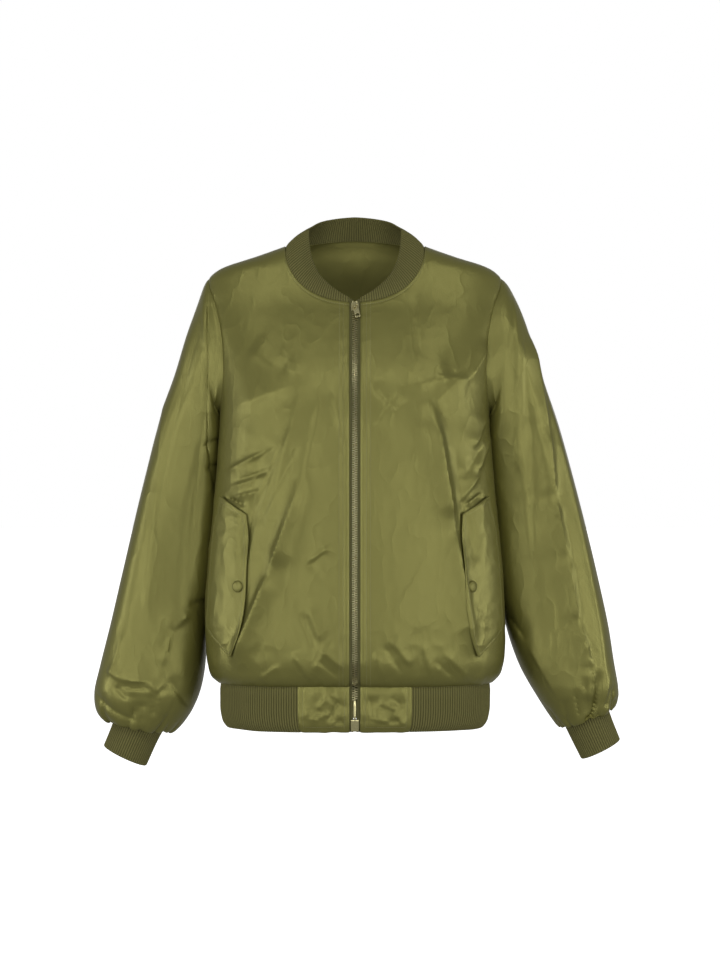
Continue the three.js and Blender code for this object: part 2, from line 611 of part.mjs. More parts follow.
// A pocket flap lies on its front, on top of the folds
function addFlap(side, hand) {
  const column = Object.fromEntries(
    ["sewnX", "sewnZ", "freeX", "freeZ"].map((key) => [
      key,
      through(FLAP.map((row, k) => ({ ...row, k })), "k", key),
    ]),
  );
  const at = (k, t, rise) => {
    const x = mix(column.sewnX(k), column.freeX(k), t);
    const z = mix(column.sewnZ(k), column.freeZ(k), t);
    return onFront(x, z, FLAP_LIFT[side] + FLAP_THICK + rise, hand);
  };
  const rows = steps(FLAP_GRID.rows).map((t) => t * (FLAP.length - 1));
  addCloth(`pocket_flap_${side}`, rows, steps(FLAP_GRID.columns), at, FLAP_THICK, SHELL_COLOUR);
}

// A place over a front, rise above its face, folds included
function onFront(x, z, rise, hand) {
  const base = body.point(x, z, -1);
  const lift = bodyFolds(FRONT_FOLDS, hand * x, z) + rise;
  return onSide(base.clone().addScaledVector(body.normal(base, -1), lift), hand);
}

// A low dome on the flap's face, turned about its own axis
function addSnap(side, hand) {
  const { x, z, radius, high } = SNAP;
  const profile = [[0, 0], [radius, 0], [radius, 0.35], [0.85, 0.8], [0.5, 1], [0, 1.06]].map(
    ([r, h]) => new THREE.Vector2(r <= 1 ? r * radius : r, h * high),
  );
  const at = (dx, dz) => onFront(x + dx, z + dz, FLAP_LIFT[side] + FLAP_THICK, hand);
  const right = at(radius, 0).sub(at(-radius, 0)).multiplyScalar(hand);
  const normal = right.cross(at(0, radius).sub(at(0, -radius))).normalize();
  const geometry = new THREE.LatheGeometry(profile, SNAP.sides).applyQuaternion(
    new THREE.Quaternion().setFromUnitVectors(place(0, 1, 0), normal),
  );
  const seat = at(0, 0).addScaledVector(normal, LAYER + SNAP.sag);
  add(`snap_${side}`, geometry.translate(...seat), SHELL_COLOUR);
}

// The line of the zip from the top down: where the collar's ends, the rows of the fronts and the tabs
// meet it, each with its outward direction, at the middle of the tape's thickness behind the cloth.
function zipLine() {
  const frame = (p, normal, cover) => {
    const out = place(0, normal.y, normal.z).normalize();
    const middle = place(0, p.y, p.z).addScaledVector(out, -(cover + LAYER + TAPE.thick / 2));
    return { middle, out };
  };
  const top = LOWER_ROWS + UPPER_ROWS;
  const fronts = Array.from({ length: top + 1 }, (_, k) => {
    const { x, z } = panelPlace(0, top - k, -1);
    const p = body.point(x, z, -1);
    return frame(p, body.normal(p, -1), k === 0 ? RIB + LAYER : CLOTH);
  });
  const share = shareAt(ZIP_EDGE);
  const tabs = BAND_HEIGHTS.toReversed().map((z) => {
    const p = bandPlace(share, z, 0);
    return frame(p, bandPlace(share, z, 1).sub(p), RIB);
  });
  const [first, second] = fronts;
  const up = first.middle.clone().sub(second.middle).setLength(TAPE.above);
  const end = first.middle.clone().add(up).addScaledVector(first.out, -LAYER);
  return [{ middle: end, out: first.out }, ...fronts, ...tabs];
}
const ZIP_LINE = zipLine();

// The zip's middle and its outward direction at a height
function zipAt(z) {
  let k = 1;
  while (k < ZIP_LINE.length - 1 && z < ZIP_LINE[k].middle.z) k += 1;
  const [above, below] = [ZIP_LINE[k - 1], ZIP_LINE[k]];
  const t = (z - above.middle.z) / (below.middle.z - above.middle.z);
  return {
    middle: above.middle.clone().lerp(below.middle, t),
    out: above.out.clone().lerp(below.out, t).normalize(),
  };
}

// A strip of the zip from one height down to another, between two x values
function addStrip(name, { top, low }, xs, thick, colour) {
  const between = ZIP_LINE.map((f) => f.middle.z).filter((z) => z < top - 1 && z > low + 1);
  const heights = [top, ...between, low];
  const at = (z, column, rise) => {
    const { middle, out } = zipAt(z);
    return place(xs(z)[column], middle.y, middle.z).addScaledVector(out, thick / 2 + rise);
  };
  addCloth(name, heights, [0, 1], at, thick, colour);
}

function addZip() {
  const ends = { top: ZIP_LINE[0].middle.z, low: ZIP_LINE.at(-1).middle.z };
  const wide = mix(BOX.top, CHAIN.low, 0.5); // above this height the tapes reach in to the teeth
  for (const [name, hand] of [["zip_tape_left", 1], ["zip_tape_right", -1]]) {
    const xs = (z) => [hand * (z > wide ? TAPE.inner : BOX.half + SEAM), hand * TAPE.outer];
    addStrip(name, ends, xs, TAPE.thick, TAPE_COLOUR);
  }
  const box = { top: BOX.top, low: ends.low + BOX.above };
  addStrip("zip_chain", CHAIN, () => [-CHAIN.half, CHAIN.half], CHAIN.thick, BRASS_COLOUR);
  addStrip("zip_pin", PIN, () => [-PIN.half, PIN.half], PIN.thick, BRASS_COLOUR);
  addStrip("zip_box", box, () => [-BOX.half, BOX.half], BOX.thick, BRASS_COLOUR);
  addStrip("zip_stop_left", STOP, () => [STOP.x1, STOP.x2], CHAIN.thick, BRASS_COLOUR);
  addStrip("zip_stop_right", STOP, () => [-STOP.x2, -STOP.x1], CHAIN.thick, BRASS_COLOUR);
}

// Closed pieces joined into one
const wasm = await Module();
wasm.setup();
function joined(geometries) {
  const solids = geometries.map((geometry) => {
    geometry.deleteAttribute("normal");
    geometry.deleteAttribute("uv");
    const merged = mergeVertices(geometry);
    return new wasm.Manifold(
      new wasm.Mesh({
        numProp: 3,
        vertProperties: Float32Array.from(merged.getAttribute("position").array),
        triVerts: Uint32Array.from(merged.index.array),
      }),
    );
  });
  const { vertProperties, triVerts } = solids.reduce((all, solid) => all.add(solid)).getMesh();
  return new THREE.BufferGeometry()
    .setAttribute("position", new THREE.Float32BufferAttribute(vertProperties, 3))
    .setIndex([...triVerts]);
}

// A box between two x, two y and two z values; y points out of the zip, so it is turned to -Y here
function block([x1, x2], [y1, y2], [z1, z2]) {
  return new THREE.BoxGeometry(x2 - x1, y2 - y1, z2 - z1).translate(
    (x1 + x2) / 2,
    -(y1 + y2) / 2,
    (z1 + z2) / 2,
  );
}

// An outline in x and z, thick in y from its back face at y1
function plate(points, y1, thick, holes = []) {
  const shape = new THREE.Shape(points.map(([x, z]) => new THREE.Vector2(x, z)));
  shape.holes = holes.map((hole) => new THREE.Path(hole.map(([x, z]) => new THREE.Vector2(x, z))));
  return new THREE.ExtrudeGeometry(shape, { depth: thick, bevelEnabled: false })
    .rotateX(Math.PI / 2)
    .translate(0, -y1, 0);
}

function addSlider() {
  const { half, narrow, top, reach, waist, plate: thick, gap } = SLIDER;
  const inside = CHAIN.thick / 2 + gap;
  const face = inside + thick;
  const outline = [
    [-narrow, -reach],
    [narrow, -reach],
    [half, waist],
    [top, reach],
    [-top, reach],
    [-half, waist],
  ];
  const strap = face + BRIDGE.clear;
  const foot = BRIDGE.foot;
  const across = [-BRIDGE.half, BRIDGE.half];
  const pieces = [
    plate(outline, inside, thick),
    plate(outline, -face, thick),
    block([-POST.half, POST.half], [-inside - SINK, inside + SINK], [reach - POST.high, reach]),
    block(across, [face - SINK, strap + BRIDGE.strap], [BRIDGE.top - foot, BRIDGE.top]),
    block(across, [face - SINK, strap + BRIDGE.strap], [BRIDGE.low, BRIDGE.low + foot]),
    block(across, [strap, strap + BRIDGE.strap], [BRIDGE.low, BRIDGE.top]),
  ];
  const slider = new THREE.Group();
  const above = zipAt(SLIDER.z + reach).middle;
  const below = zipAt(SLIDER.z - reach).middle;
  slider.position.copy(above).lerp(below, 0.5);
  slider.rotation.x = -Math.atan2(above.y - below.y, above.z - below.z);
  add("zip_slider", joined(pieces), BRASS_COLOUR, slider);
  addPull(slider, face);
  jacket.add(slider);
}

// The pull tab: a bar under the bridge, two arms round the bridge's foot and a tab with a slot
function addPull(slider, face) {
  const { bar, half, low, corner, long, thick } = PULL;
  const end = bar / 2 - long;
  const outline = [
    [-half, bar / 2],
    [-low, end + corner],
    [-low + corner, end],
    [low - corner, end],
    [low, end + corner],
    [half, bar / 2],
  ];
  const rectangle = (w, z1, z2) => [[-w, z1], [w, z1], [w, z2], [-w, z2]];
  const holes = [
    rectangle(PULL_EYE.half, -bar / 2 - PULL_EYE.high, -bar / 2),
    rectangle(PULL_SLOT.half, end + PULL_SLOT.end, end + PULL_SLOT.end + PULL_SLOT.high),
  ];
  const pull = new THREE.Group();
  pull.position.set(0, -(face + PULL.gap + thick / 2), PULL.z);
  pull.rotation.y = -radians(PULL.tilt);
  add("zip_pull", plate(outline, -thick / 2, thick, holes), BRASS_COLOUR, pull);
  slider.add(pull);
}

addPanels();
addSleeve("sleeve_left", SLEEVES.left, SLEEVE_FOLDS.left, 1);
addSleeve("sleeve_right", SLEEVES.right, SLEEVE_FOLDS.right, -1);
addCuff("cuff_left", CUFFS.left, 1);
addCuff("cuff_right", CUFFS.right, -1);
addCollar();
addWaistband();
for (const [side, hand] of [["left", 1], ["right", -1]]) {
  addTab(`hem_tab_${side}`, hand);
  addFlap(side, hand);
  addSnap(side, hand);
}
addZip();
addSlider();

export default jacket;
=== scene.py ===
# %% [markdown]
# # A zip-front bomber jacket
#
# The jacket is shown in the hollow shape that it has when somebody wears it. The solids that come from the
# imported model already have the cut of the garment, so this script only makes the cloth finer: it works the
# same surfaces out again on a dense grid, adds the creases, ribs and stitches, and gives each its finish.

# %% Load the frame
import json
import math

import bpy
import numpy as np
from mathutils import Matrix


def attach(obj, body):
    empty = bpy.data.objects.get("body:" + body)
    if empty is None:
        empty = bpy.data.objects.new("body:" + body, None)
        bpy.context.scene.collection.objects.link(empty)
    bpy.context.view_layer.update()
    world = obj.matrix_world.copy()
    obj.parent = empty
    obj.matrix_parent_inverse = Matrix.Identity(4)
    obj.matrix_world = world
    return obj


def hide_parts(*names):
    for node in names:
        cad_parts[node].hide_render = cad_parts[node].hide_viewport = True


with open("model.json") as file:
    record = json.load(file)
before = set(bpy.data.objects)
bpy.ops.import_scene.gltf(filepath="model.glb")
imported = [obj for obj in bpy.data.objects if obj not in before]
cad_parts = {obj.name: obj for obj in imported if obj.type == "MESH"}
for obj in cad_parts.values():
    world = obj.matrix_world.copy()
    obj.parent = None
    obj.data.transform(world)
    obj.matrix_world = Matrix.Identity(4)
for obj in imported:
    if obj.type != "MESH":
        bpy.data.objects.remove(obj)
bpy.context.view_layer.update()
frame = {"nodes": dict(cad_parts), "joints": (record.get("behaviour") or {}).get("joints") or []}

print("solids in the frame:", len(frame["nodes"]))

# %% [markdown]
# ## Camera
#
# The picture was taken from straight ahead. One of its pixels covers 1.3 mm in the plane of the shoulder
# seams, so the distance and the height of the picture give the lens.

# %% Camera
PIXEL = 0.0013
PICTURE_WIDE, PICTURE_HIGH = 720, 960
ORIGIN_ACROSS, ORIGIN_DOWN = 355, 247  # the pixel at which the jacket's origin lies
CAMERA_AWAY = 3.0

camera = bpy.data.objects.new("camera", bpy.data.cameras.new("camera"))
bpy.context.scene.collection.objects.link(camera)
camera.location = (
    (PICTURE_WIDE / 2 - ORIGIN_ACROSS) * PIXEL,
    -CAMERA_AWAY,
    (ORIGIN_DOWN - PICTURE_HIGH / 2) * PIXEL,
)
camera.rotation_euler = (math.radians(90), 0, 0)
camera.data.lens = camera.data.sensor_width * CAMERA_AWAY / (PICTURE_HIGH * PIXEL)
bpy.context.scene.camera = camera
print("lens in mm:", round(camera.data.lens, 1))

# %% [markdown]
# ## Light
#
# Smooth cloth shows its form through broad, soft highlights, and a highlight is the reflection of a lamp.
# Four soft lamps stand on each side: a low one in front for the folds of the body, a high one for the chest
# and shoulders, a tall one for the sleeves' outer halves, and one beside each sleeve for its rim. A weak one
# stands behind. The colours are shown as they are, without a film look.

# %% Light
bpy.context.scene.view_settings.view_transform = "Standard"


def lamp(name, place, aim, size, watts):
    """A rectangular soft lamp of that width and height in metres, at a place, turned towards a point."""
    data = bpy.data.lights.new(name, "AREA")
    data.shape = "RECTANGLE"
    data.size, data.size_y = size
    data.energy = watts
    thing = bpy.data.objects.new(name, data)
    bpy.context.scene.collection.objects.link(thing)
    thing.location = place
    way = np.subtract(aim, place)
    turn = math.atan2(-way[0], way[1])
    tip = math.atan2(math.hypot(way[0], way[1]), -way[2])
    thing.rotation_euler = (tip, 0, turn)
    return thing


CHEST = (0, 0, -0.25)
# each pair's place on the left, its width and height in metres, and its watts
LAMP_PAIRS = {
    "front": ((0.9, -2.8, -0.5), (0.4, 0.7), 10),
    "top": ((0.9, -2.4, 1.6), (0.4, 0.4), 12),
    "strip": ((2.0, -2.1, -0.4), (0.4, 1.2), 12),
    "side": ((2.7, -0.6, -0.45), (0.8, 1.0), 14),
}
for hand in (1, -1):
    for name, ((x, y, z), size, watts) in LAMP_PAIRS.items():
        lamp(f"lamp_{name}_{hand}", (hand * x, y, z), CHEST, size, watts)
lamp("lamp_back", (0, 2.8, 0.3), CHEST, (2.4, 1.2), 10)
print("lamps:", len(bpy.data.lights))

# %% [markdown]
# ## Studio
#
# The floor is a large pale sheet well below the jacket, and the sky around it is white. A ray from the
# camera sees the sky at full strength, while the jacket gets only part of its light, so that the folds keep
# their shadows.

# %% Studio
FLOOR_LOW = -1.0
FLOOR_HALF = 30.0
SKY_SEEN, SKY_LIGHT = 1.0, 0.35

world = bpy.data.worlds.new("studio")
bpy.context.scene.world = world
world.use_nodes = True
sky_nodes, sky_links = world.node_tree.nodes, world.node_tree.links
ray = sky_nodes.new("ShaderNodeLightPath")
strength = sky_nodes.new("ShaderNodeMapRange")
strength.inputs["To Min"].default_value = SKY_LIGHT
strength.inputs["To Max"].default_value = SKY_SEEN
sky_links.new(ray.outputs["Is Camera Ray"], strength.inputs["Value"])
sky_links.new(strength.outputs["Result"], sky_nodes["Background"].inputs["Strength"])
sky_nodes["Background"].inputs["Color"].default_value = (1, 1, 1, 1)

floor_mesh = bpy.data.meshes.new("floor")
floor_corners = [(-1, -1), (1, -1), (1, 1), (-1, 1)]
floor_points = [(x * FLOOR_HALF, y * FLOOR_HALF, FLOOR_LOW) for x, y in floor_corners]
floor_mesh.from_pydata(floor_points, [], [(0, 1, 2, 3)])
floor = bpy.data.objects.new("floor", floor_mesh)
bpy.context.scene.collection.objects.link(floor)
floor.visible_diffuse = False
floor.visible_glossy = False
print("floor at z in metres:", FLOOR_LOW)

# %% [markdown]
# ## Shader arithmetic
#
# A finish is a small sum of patterns. Writing each sum with nodes is long, so one class wraps an output of a
# node and turns + - * and ** into Math nodes, and another holds a material while it is put together.

# %% Shader classes


class Socket:
    """An output of a shader node. Arithmetic between sockets and numbers adds Math nodes."""

    def __init__(self, finish, output):
        self.finish, self.output = finish, output

    def math(self, operation, first, second=0.0):
        return self.finish.node("ShaderNodeMath", {"operation": operation}, {0: first, 1: second})

    def __add__(self, other):
        return self.math("ADD", self, other)

    def __sub__(self, other):
        return self.math("SUBTRACT", self, other)

    def __rsub__(self, other):
        return self.math("SUBTRACT", other, self)

    def __mul__(self, other):
        return self.math("MULTIPLY", self, other)

    def __pow__(self, other):
        return self.math("POWER", self, other)

    def __abs__(self):
        return self.math("ABSOLUTE", self)

    def sine(self):
        return self.math("SINE", self)


class Finish:
    """A material while it is put together. node() adds any shader node, and feed() sets or links a socket."""

    def __init__(self, name, **sockets):
        self.material = bpy.data.materials.new(name)
        self.material.use_nodes = True
        self.tree = self.material.node_tree
        self.shader = self.tree.nodes["Principled BSDF"]
        for socket, value in sockets.items():
            self.feed(self.shader.inputs[socket.replace("_", " ")], value)

    def feed(self, socket, value):
        if isinstance(value, Socket):
            self.tree.links.new(value.output, socket)
        else:
            socket.default_value = value

    def node(self, kind, settings=None, inputs=None, output=0):
        made = self.tree.nodes.new(kind)
        for name, value in (settings or {}).items():
            setattr(made, name, value)
        for name, value in (inputs or {}).items():
            self.feed(made.inputs[name], value)
        return Socket(self, made.outputs[output])

    def noise(self, scale, detail=2.0, stretch=(1, 1, 1)):
        """Noise in the object's own metres, stretched along the axes."""
        place = self.node("ShaderNodeTexCoord", output="Object")
        laid = self.node("ShaderNodeMapping", inputs={"Vector": place, "Scale": stretch})
        return self.node("ShaderNodeTexNoise", inputs={"Vector": laid, "Scale": scale, "Detail": detail})

    def cloth_place(self):
        """The two ways across the cloth in metres, from the piece's own UV map."""
        flat = self.node("ShaderNodeUVMap", {"uv_map": "cloth"})
        across = self.node("ShaderNodeSeparateXYZ", inputs={0: flat})
        return across, Socket(self, across.output.node.outputs[1])

    def colour(self, factor, dark, light):
        """A colour between two others, by a factor from 0 to 1."""
        inputs = {0: factor, 6: (*dark, 1), 7: (*light, 1)}
        mixed = self.node("ShaderNodeMix", {"data_type": "RGBA"}, inputs, output=2)
        self.feed(self.shader.inputs["Base Color"], mixed)

    def bump(self, height, deep):
        """Relief of that depth in metres, from a height between 0 and 1."""
        made = self.node("ShaderNodeBump", inputs={"Height": height, "Distance": deep, "Strength": 1.0})
        self.feed(self.shader.inputs["Normal"], made)

    def roughness(self, value):
        self.feed(self.shader.inputs["Roughness"], value)


TURN = 2 * math.pi

# %% [markdown]
# ## Shell cloth
#
# The shell is a dyed polyester satin. Its filaments are coloured right through, so even its highlights are
# olive. The metallic part of the shader gives that tint, and a middling roughness gives the broad sheen. The
# relief is a fine twill line and, far larger, the faint creases that pressing leaves. The reverse, which
# shows through the neck, is duller, and its colour is lighter: partly the cloth's reverse, and partly painted
# light for the shaded inside of the neck.

# %% Shell cloth
OLIVE_DARK = (0.152, 0.145, 0.038)
OLIVE_LIGHT = (0.180, 0.171, 0.046)
TWILL = 0.0007
SATIN_ROUGH, REVERSE_ROUGH = 0.34, 0.5


def shell_finish(name, dark, light, rough):
    """Olive satin between two colours: twill relief from the cloth's own two ways, slow noise in its tone."""
    made = Finish(name, Metallic=0.58, Specular_IOR_Level=0.3)
    across, along = made.cloth_place()
    twill = ((across + along) * (TURN / TWILL)).sine() * 0.5 + 0.5
    slow = made.noise(5.0, 3.0)
    crest = 1.0 - abs(made.noise(26.0, 2.0, (1, 1, 0.55)) * 2.0 - 1.0)
    made.colour(slow, dark, light)
    made.bump((crest ** 6.0) * slow + twill * 0.03, 0.0008)
    made.roughness(slow * 0.08 + rough)
    return made.material


SHELL = shell_finish("shell_satin", OLIVE_DARK, OLIVE_LIGHT, SATIN_ROUGH)
# Lighter than the shell: partly the duller reverse of the cloth, partly painted light for the shaded inside
# of the neck.
REVERSE_AND_LIT_DARK = (0.225, 0.212, 0.060)
REVERSE_AND_LIT_LIGHT = (0.255, 0.240, 0.068)
REVERSE_AND_LIT_FINISH = shell_finish("shell_reverse_and_painted_light", REVERSE_AND_LIT_DARK, REVERSE_AND_LIT_LIGHT, REVERSE_ROUGH)
print("shell finishes:", SHELL.name, REVERSE_AND_LIT_FINISH.name)

# %% [markdown]
# ## Rib knit
#
# Collar, cuffs and waistband are knitted, and matt. The ribs themselves are in the mesh, and their grooves
# get a darker colour as painted shade. Each rib is a column of small V-shaped stitches, which are too fine
# for a mesh of a million faces, so they are relief.

# %% Rib knit
KNIT_GROOVE_SHADE = (0.040, 0.037, 0.011)
KNIT_CREST = (0.150, 0.140, 0.044)
RIB_ACROSS = 0.00325
STITCH_WIDE, STITCH_HIGH = 0.0011, 0.0009
KNIT_WEAVE = 2.2  # how far a row of stitches slants


def knit_finish():
    """Matt knit: rows of slanting stitches from the cloth's two ways, with a soft mottle of fluff. Its
    grooves are painted darker than their shape alone would make them, as painted shade."""
    made = Finish("rib_knit", Metallic=0.0, Specular_IOR_Level=0.2)
    across, along = made.cloth_place()
    crest = abs((across * (TURN / 2 / RIB_ACROSS) + TURN / 4).sine())
    column = (across * (TURN / 2 / STITCH_WIDE)).sine()
    row = (along * (TURN / STITCH_HIGH) + abs(column) * KNIT_WEAVE).sine()
    fluff = made.noise(900.0, 2.0)
    # The rib crests mix towards the light colour and the grooves towards the dark one: painted shade in the
    # grooves.
    made.colour(crest * 0.75 + row * 0.06 + fluff * 0.2, KNIT_GROOVE_SHADE, KNIT_CREST)
    made.bump(row * 0.3 + fluff * 0.4 + 0.3, 0.00025)
    made.roughness(fluff * 0.15 + 0.75)
    return made.material


KNIT = knit_finish()
print("rib pitch in mm:", RIB_ACROSS * 1000)

# %% [markdown]
# ## Tape, thread and brass
#
# The zip's tape is a herringbone: slanting lines that change their way every millimetre and a half. The
# thread is a little lighter than the cloth. The teeth and the slider are brass with a thin dull film that is
# rubbed off in places, so their roughness and colour vary.

# %% Tape, thread and brass
HERRING, TAPE_LINE = 0.0030, 0.0008
TAPE_COLOURS = (0.060, 0.057, 0.018), (0.100, 0.095, 0.030)
THREAD_COLOURS = (0.150, 0.142, 0.048), (0.230, 0.218, 0.080)
BRASS_COLOURS = (0.72, 0.66, 0.36), (0.36, 0.33, 0.16)


def tape_finish():
    """Matt tape: sloping lines whose way turns over at each stripe of the herringbone."""
    made = Finish("zip_tape", Metallic=0.0, Specular_IOR_Level=0.3)
    across, along = made.cloth_place()
    bend = (across * (TURN / HERRING)).sine()
    line = (along * (TURN / TAPE_LINE) + bend * 3.0).sine()
    made.colour(line * 0.25 + 0.5, *TAPE_COLOURS)
    made.bump(line * 0.5 + 0.5, 0.00015)
    made.roughness(line * 0.05 + 0.75)
    return made.material


def thread_finish():
    """Thread with a slight shine, its tone uneven from grain to grain."""
    made = Finish("sewing_thread", Metallic=0.1, Specular_IOR_Level=0.5)
    tone = made.noise(600.0)
    made.colour(tone, *THREAD_COLOURS)
    made.roughness(tone * 0.2 + 0.45)
    return made.material


def brass_finish():
    """Brass: a dull film where coarse noise is high, cleaner metal where it is low, and fine scratches."""
    made = Finish("zip_brass", Metallic=1.0)
    film = made.noise(500.0, 4.0)
    scratch = made.noise(2500.0, 2.0, (1, 1, 0.2))
    made.colour(film, *BRASS_COLOURS)
    made.bump(scratch, 0.00003)
    made.roughness(film * 0.25 + 0.18)
    return made.material


TAPE = tape_finish()
THREAD = thread_finish()
BRASS = brass_finish()

floor_look = Finish("studio_floor", Base_Color=(0.86, 0.86, 0.86, 1), Roughness=0.9)
floor_look.feed(floor_look.shader.inputs["Emission Color"], (1, 1, 1, 1))
floor_look.feed(floor_look.shader.inputs["Emission Strength"], 1.0)
floor_mesh.materials.append(floor_look.material)
print("finishes:", len(bpy.data.materials))

# %% [markdown]
# ## Curves through tables
#
# The jacket's sizes are short tables, in millimetres: at certain heights, how wide and how deep the body is.
# Between two rows the value follows a cubic, so the surface has no corners.

# %% Tables and curves
MM = 0.001
HANDS = {"left": 1, "right": -1}  # the wearer's left lies on the +x side


def table(columns, *rows):
    """A table with named columns, as a dict from each name to its values."""
    return dict(zip(columns.split(), np.array(rows, float).T))


def soft(t):
    """A soft step: 3t² - 2t³, with t held between 0 and 1."""
    t = np.clip(t, 0, 1)
    return t * t * (3 - 2 * t)


def mix(a, b, t):
    return a + (b - a) * t


def bell(t, middle, wide):
    """exp(-((t - middle) / wide)²)"""
    return np.exp(-(((t - middle) / wide) ** 2))


def way_along(line):
    """The length along a line of points, from 0 at its first."""
    return np.concatenate([[0], np.cumsum(np.linalg.norm(np.diff(line, axis=0), axis=-1))])


def through(t, v):
    """The smooth curve through the values v at the places t. Between two places it is a cubic, and its slope
    at each place is that of the parabola through it and its two neighbours."""
    v = np.asarray(v, float)
    wide = (..., *[None] * (v.ndim - 1))
    gap = np.diff(t)[wide]
    rise = np.diff(v, axis=0) / gap
    inner = (rise[:-1] * gap[1:] + rise[1:] * gap[:-1]) / (gap[1:] + gap[:-1])
    slope = np.concatenate([rise[:1], inner, rise[-1:]])

    def at(x):
        x = np.clip(np.asarray(x, float), t[0], t[-1])
        k = np.clip(np.searchsorted(t, x) - 1, 0, len(t) - 2)
        s = ((x - t[k]) / (t[k + 1] - t[k]))[wide]
        bend = slope[k] * s * (1 - s) ** 2 - slope[k + 1] * s * s * (1 - s)
        return mix(v[k], v[k + 1], soft(s)) + gap[k] * bend

    return at


def columns_through(rows, along):
    """The smooth curve through each other column of a table, as functions of one column."""
    return {name: through(rows[along], v) for name, v in rows.items() if name != along}


print("half-way along a curve through 0, 1 and 4:", float(through([0, 1, 2], [0, 1, 4])(1.5)))


# %% [markdown]
# ## The body
#
# Cut level, the body is a rounded box: |x / half|ⁿ + |y / depth|ⁿ = 1. Its half width and the depths of its
# front and back follow the height. The tables and the armhole repeat those of the solids.

# %% The body's form
SEAM = 0.3
SQUARE = 2.7
BODY = table(
    "z half front back",
    (-564, 177, 100, 98), (-557, 184, 107, 104), (-542, 190, 114, 109), (-515, 193, 117, 112),
    (-480, 194, 118, 113), (-430, 192, 118, 113), (-380, 188, 119, 112), (-320, 182, 121, 110),
    (-270, 178, 122, 110), (-222, 175, 121, 111), (-170, 178, 112, 110), (-130, 185, 96, 105),
    (-100, 191, 81, 98), (-76, 194, 68, 90), (-52, 193, 59, 81), (-40, 188, 56, 75),
    (-29, 173, 54, 69), (-14, 131, 51, 62), (0, 90, 49, 57), (14, 50, 47, 51),
)
BAND = table(
    "z half front back",
    (-622, 166, 91, 89), (-617, 170, 95, 93), (-604, 174, 98, 96), (-583, 175, 99, 97), (-564.3, 175, 99, 97),
)
HEM_Z = -564
NECK_HALF, NECK_DROP, NECK_RISE, NECK_SQUARE = 90, 76, 13, 2.2
ARM_Z, ARM_HALF, ARM_DEPTH, ARM_LEAN = -131, 91, 54, 0.25
SHOULDER_Z, UNDERARM_Z = ARM_Z + ARM_HALF, ARM_Z - ARM_HALF
ZIP_EDGE = 7.0


class RoundedBox:
    """A tube of rounded-box sections. side is -1 in front and 1 behind."""

    def __init__(self, rows):
        curves = columns_through(rows, "z")
        self.half, self.front, self.back = curves["half"], curves["front"], curves["back"]

    def depth(self, z, side):
        return np.where(np.asarray(side) < 0, self.front(z), self.back(z))

    def field(self, x, y, z, side):
        return np.abs(x / self.half(z)) ** SQUARE + np.abs(y / self.depth(z, side)) ** SQUARE

    def point(self, x, z, side):
        """The place on the surface over x and z: y = depth · (1 - |x / half|ⁿ)^(1/n), on the given side."""
        across = np.minimum(1, np.abs(x) / self.half(z))
        y = self.depth(z, side) * (1 - across**SQUARE) ** (1 / SQUARE)
        return np.stack(np.broadcast_arrays(x, side * np.maximum(y, SEAM / 2), z), -1).astype(float)

    def across(self, y, z, side):
        return self.half(z) * (1 - np.abs(y / self.depth(z, side)) ** SQUARE) ** (1 / SQUARE)

    def normal(self, p, side):
        """The unit gradient of the section's formula, by differences of half a millimetre."""
        x, y, z = p[..., 0], p[..., 1], p[..., 2]
        d = 0.5
        up = self.field(x, y, z + d, side) - self.field(x, y, z - d, side)
        out = self.field(x, y + d, z, side) - self.field(x, y - d, z, side)
        over = self.field(x + d, y, z, side) - self.field(x - d, y, z, side)
        flat = np.abs(y) <= SEAM / 2
        return unit(np.stack([over, np.where(flat, 0, out), up], -1))


def unit(v):
    return v / np.linalg.norm(v, axis=-1, keepdims=True)


body = RoundedBox(BODY)
band = RoundedBox(BAND)
print("chest half width in mm:", float(body.half(-222.0)))

# %% [markdown]
# ## Panels
#
# A maker cuts two fronts and a back. Each half panel has 12 columns from the middle to the side seam, and 22
# rows: level ones up to the underarm, and above it rows that swing from the armhole to the neckline. The
# rows above the underarm blend the four edges, which is called a Coons patch.

# %% The panels' outline
COLUMNS, NECK_COLUMN, LOWER_ROWS, UPPER_ROWS = 12, 4, 10, 12
ROW_SPREAD, SHOULDER_CURVE = 1.35, 1.6


def column_part(column):
    return np.sin(column / COLUMNS * np.pi / 2) ** (2 / SQUARE)


NECK_PART = column_part(NECK_COLUMN)


def armhole(turn, side):
    """The armhole, an ellipse seen from the side that lies on the body: turn 0 at the shoulder, pi below."""
    z = ARM_Z + ARM_HALF * np.cos(turn)
    y = ARM_DEPTH * np.sin(turn) * (1 - ARM_LEAN * np.cos(turn))
    return np.stack(np.broadcast_arrays(body.across(y, z, side), side * np.maximum(y, SEAM / 2), z), -1)


def top_edge(s, side):
    """x and z of a half panel's top edge: the neckline up to the collar's end, then the shoulder."""
    beyond = np.clip((s - NECK_PART) / (1 - NECK_PART), 0, 1)
    shoulder_z = SHOULDER_Z * beyond**SHOULDER_CURVE
    part = np.clip(s / NECK_PART, 0, 1)
    if side > 0:
        neck_x, neck_z = NECK_HALF * part, NECK_RISE * (1 - part**2)
    else:
        turn = mix(np.arcsin((ZIP_EDGE / NECK_HALF) ** (NECK_SQUARE / 2)), np.pi / 2, part)
        neck_x = NECK_HALF * np.sin(turn) ** (2 / NECK_SQUARE)
        neck_z = -NECK_DROP * np.maximum(np.cos(turn), 0) ** (2 / NECK_SQUARE)
    at_neck = s <= NECK_PART
    x = np.where(at_neck, neck_x, body.half(shoulder_z))
    return np.stack([x, np.where(at_neck, neck_z, shoulder_z)], -1)


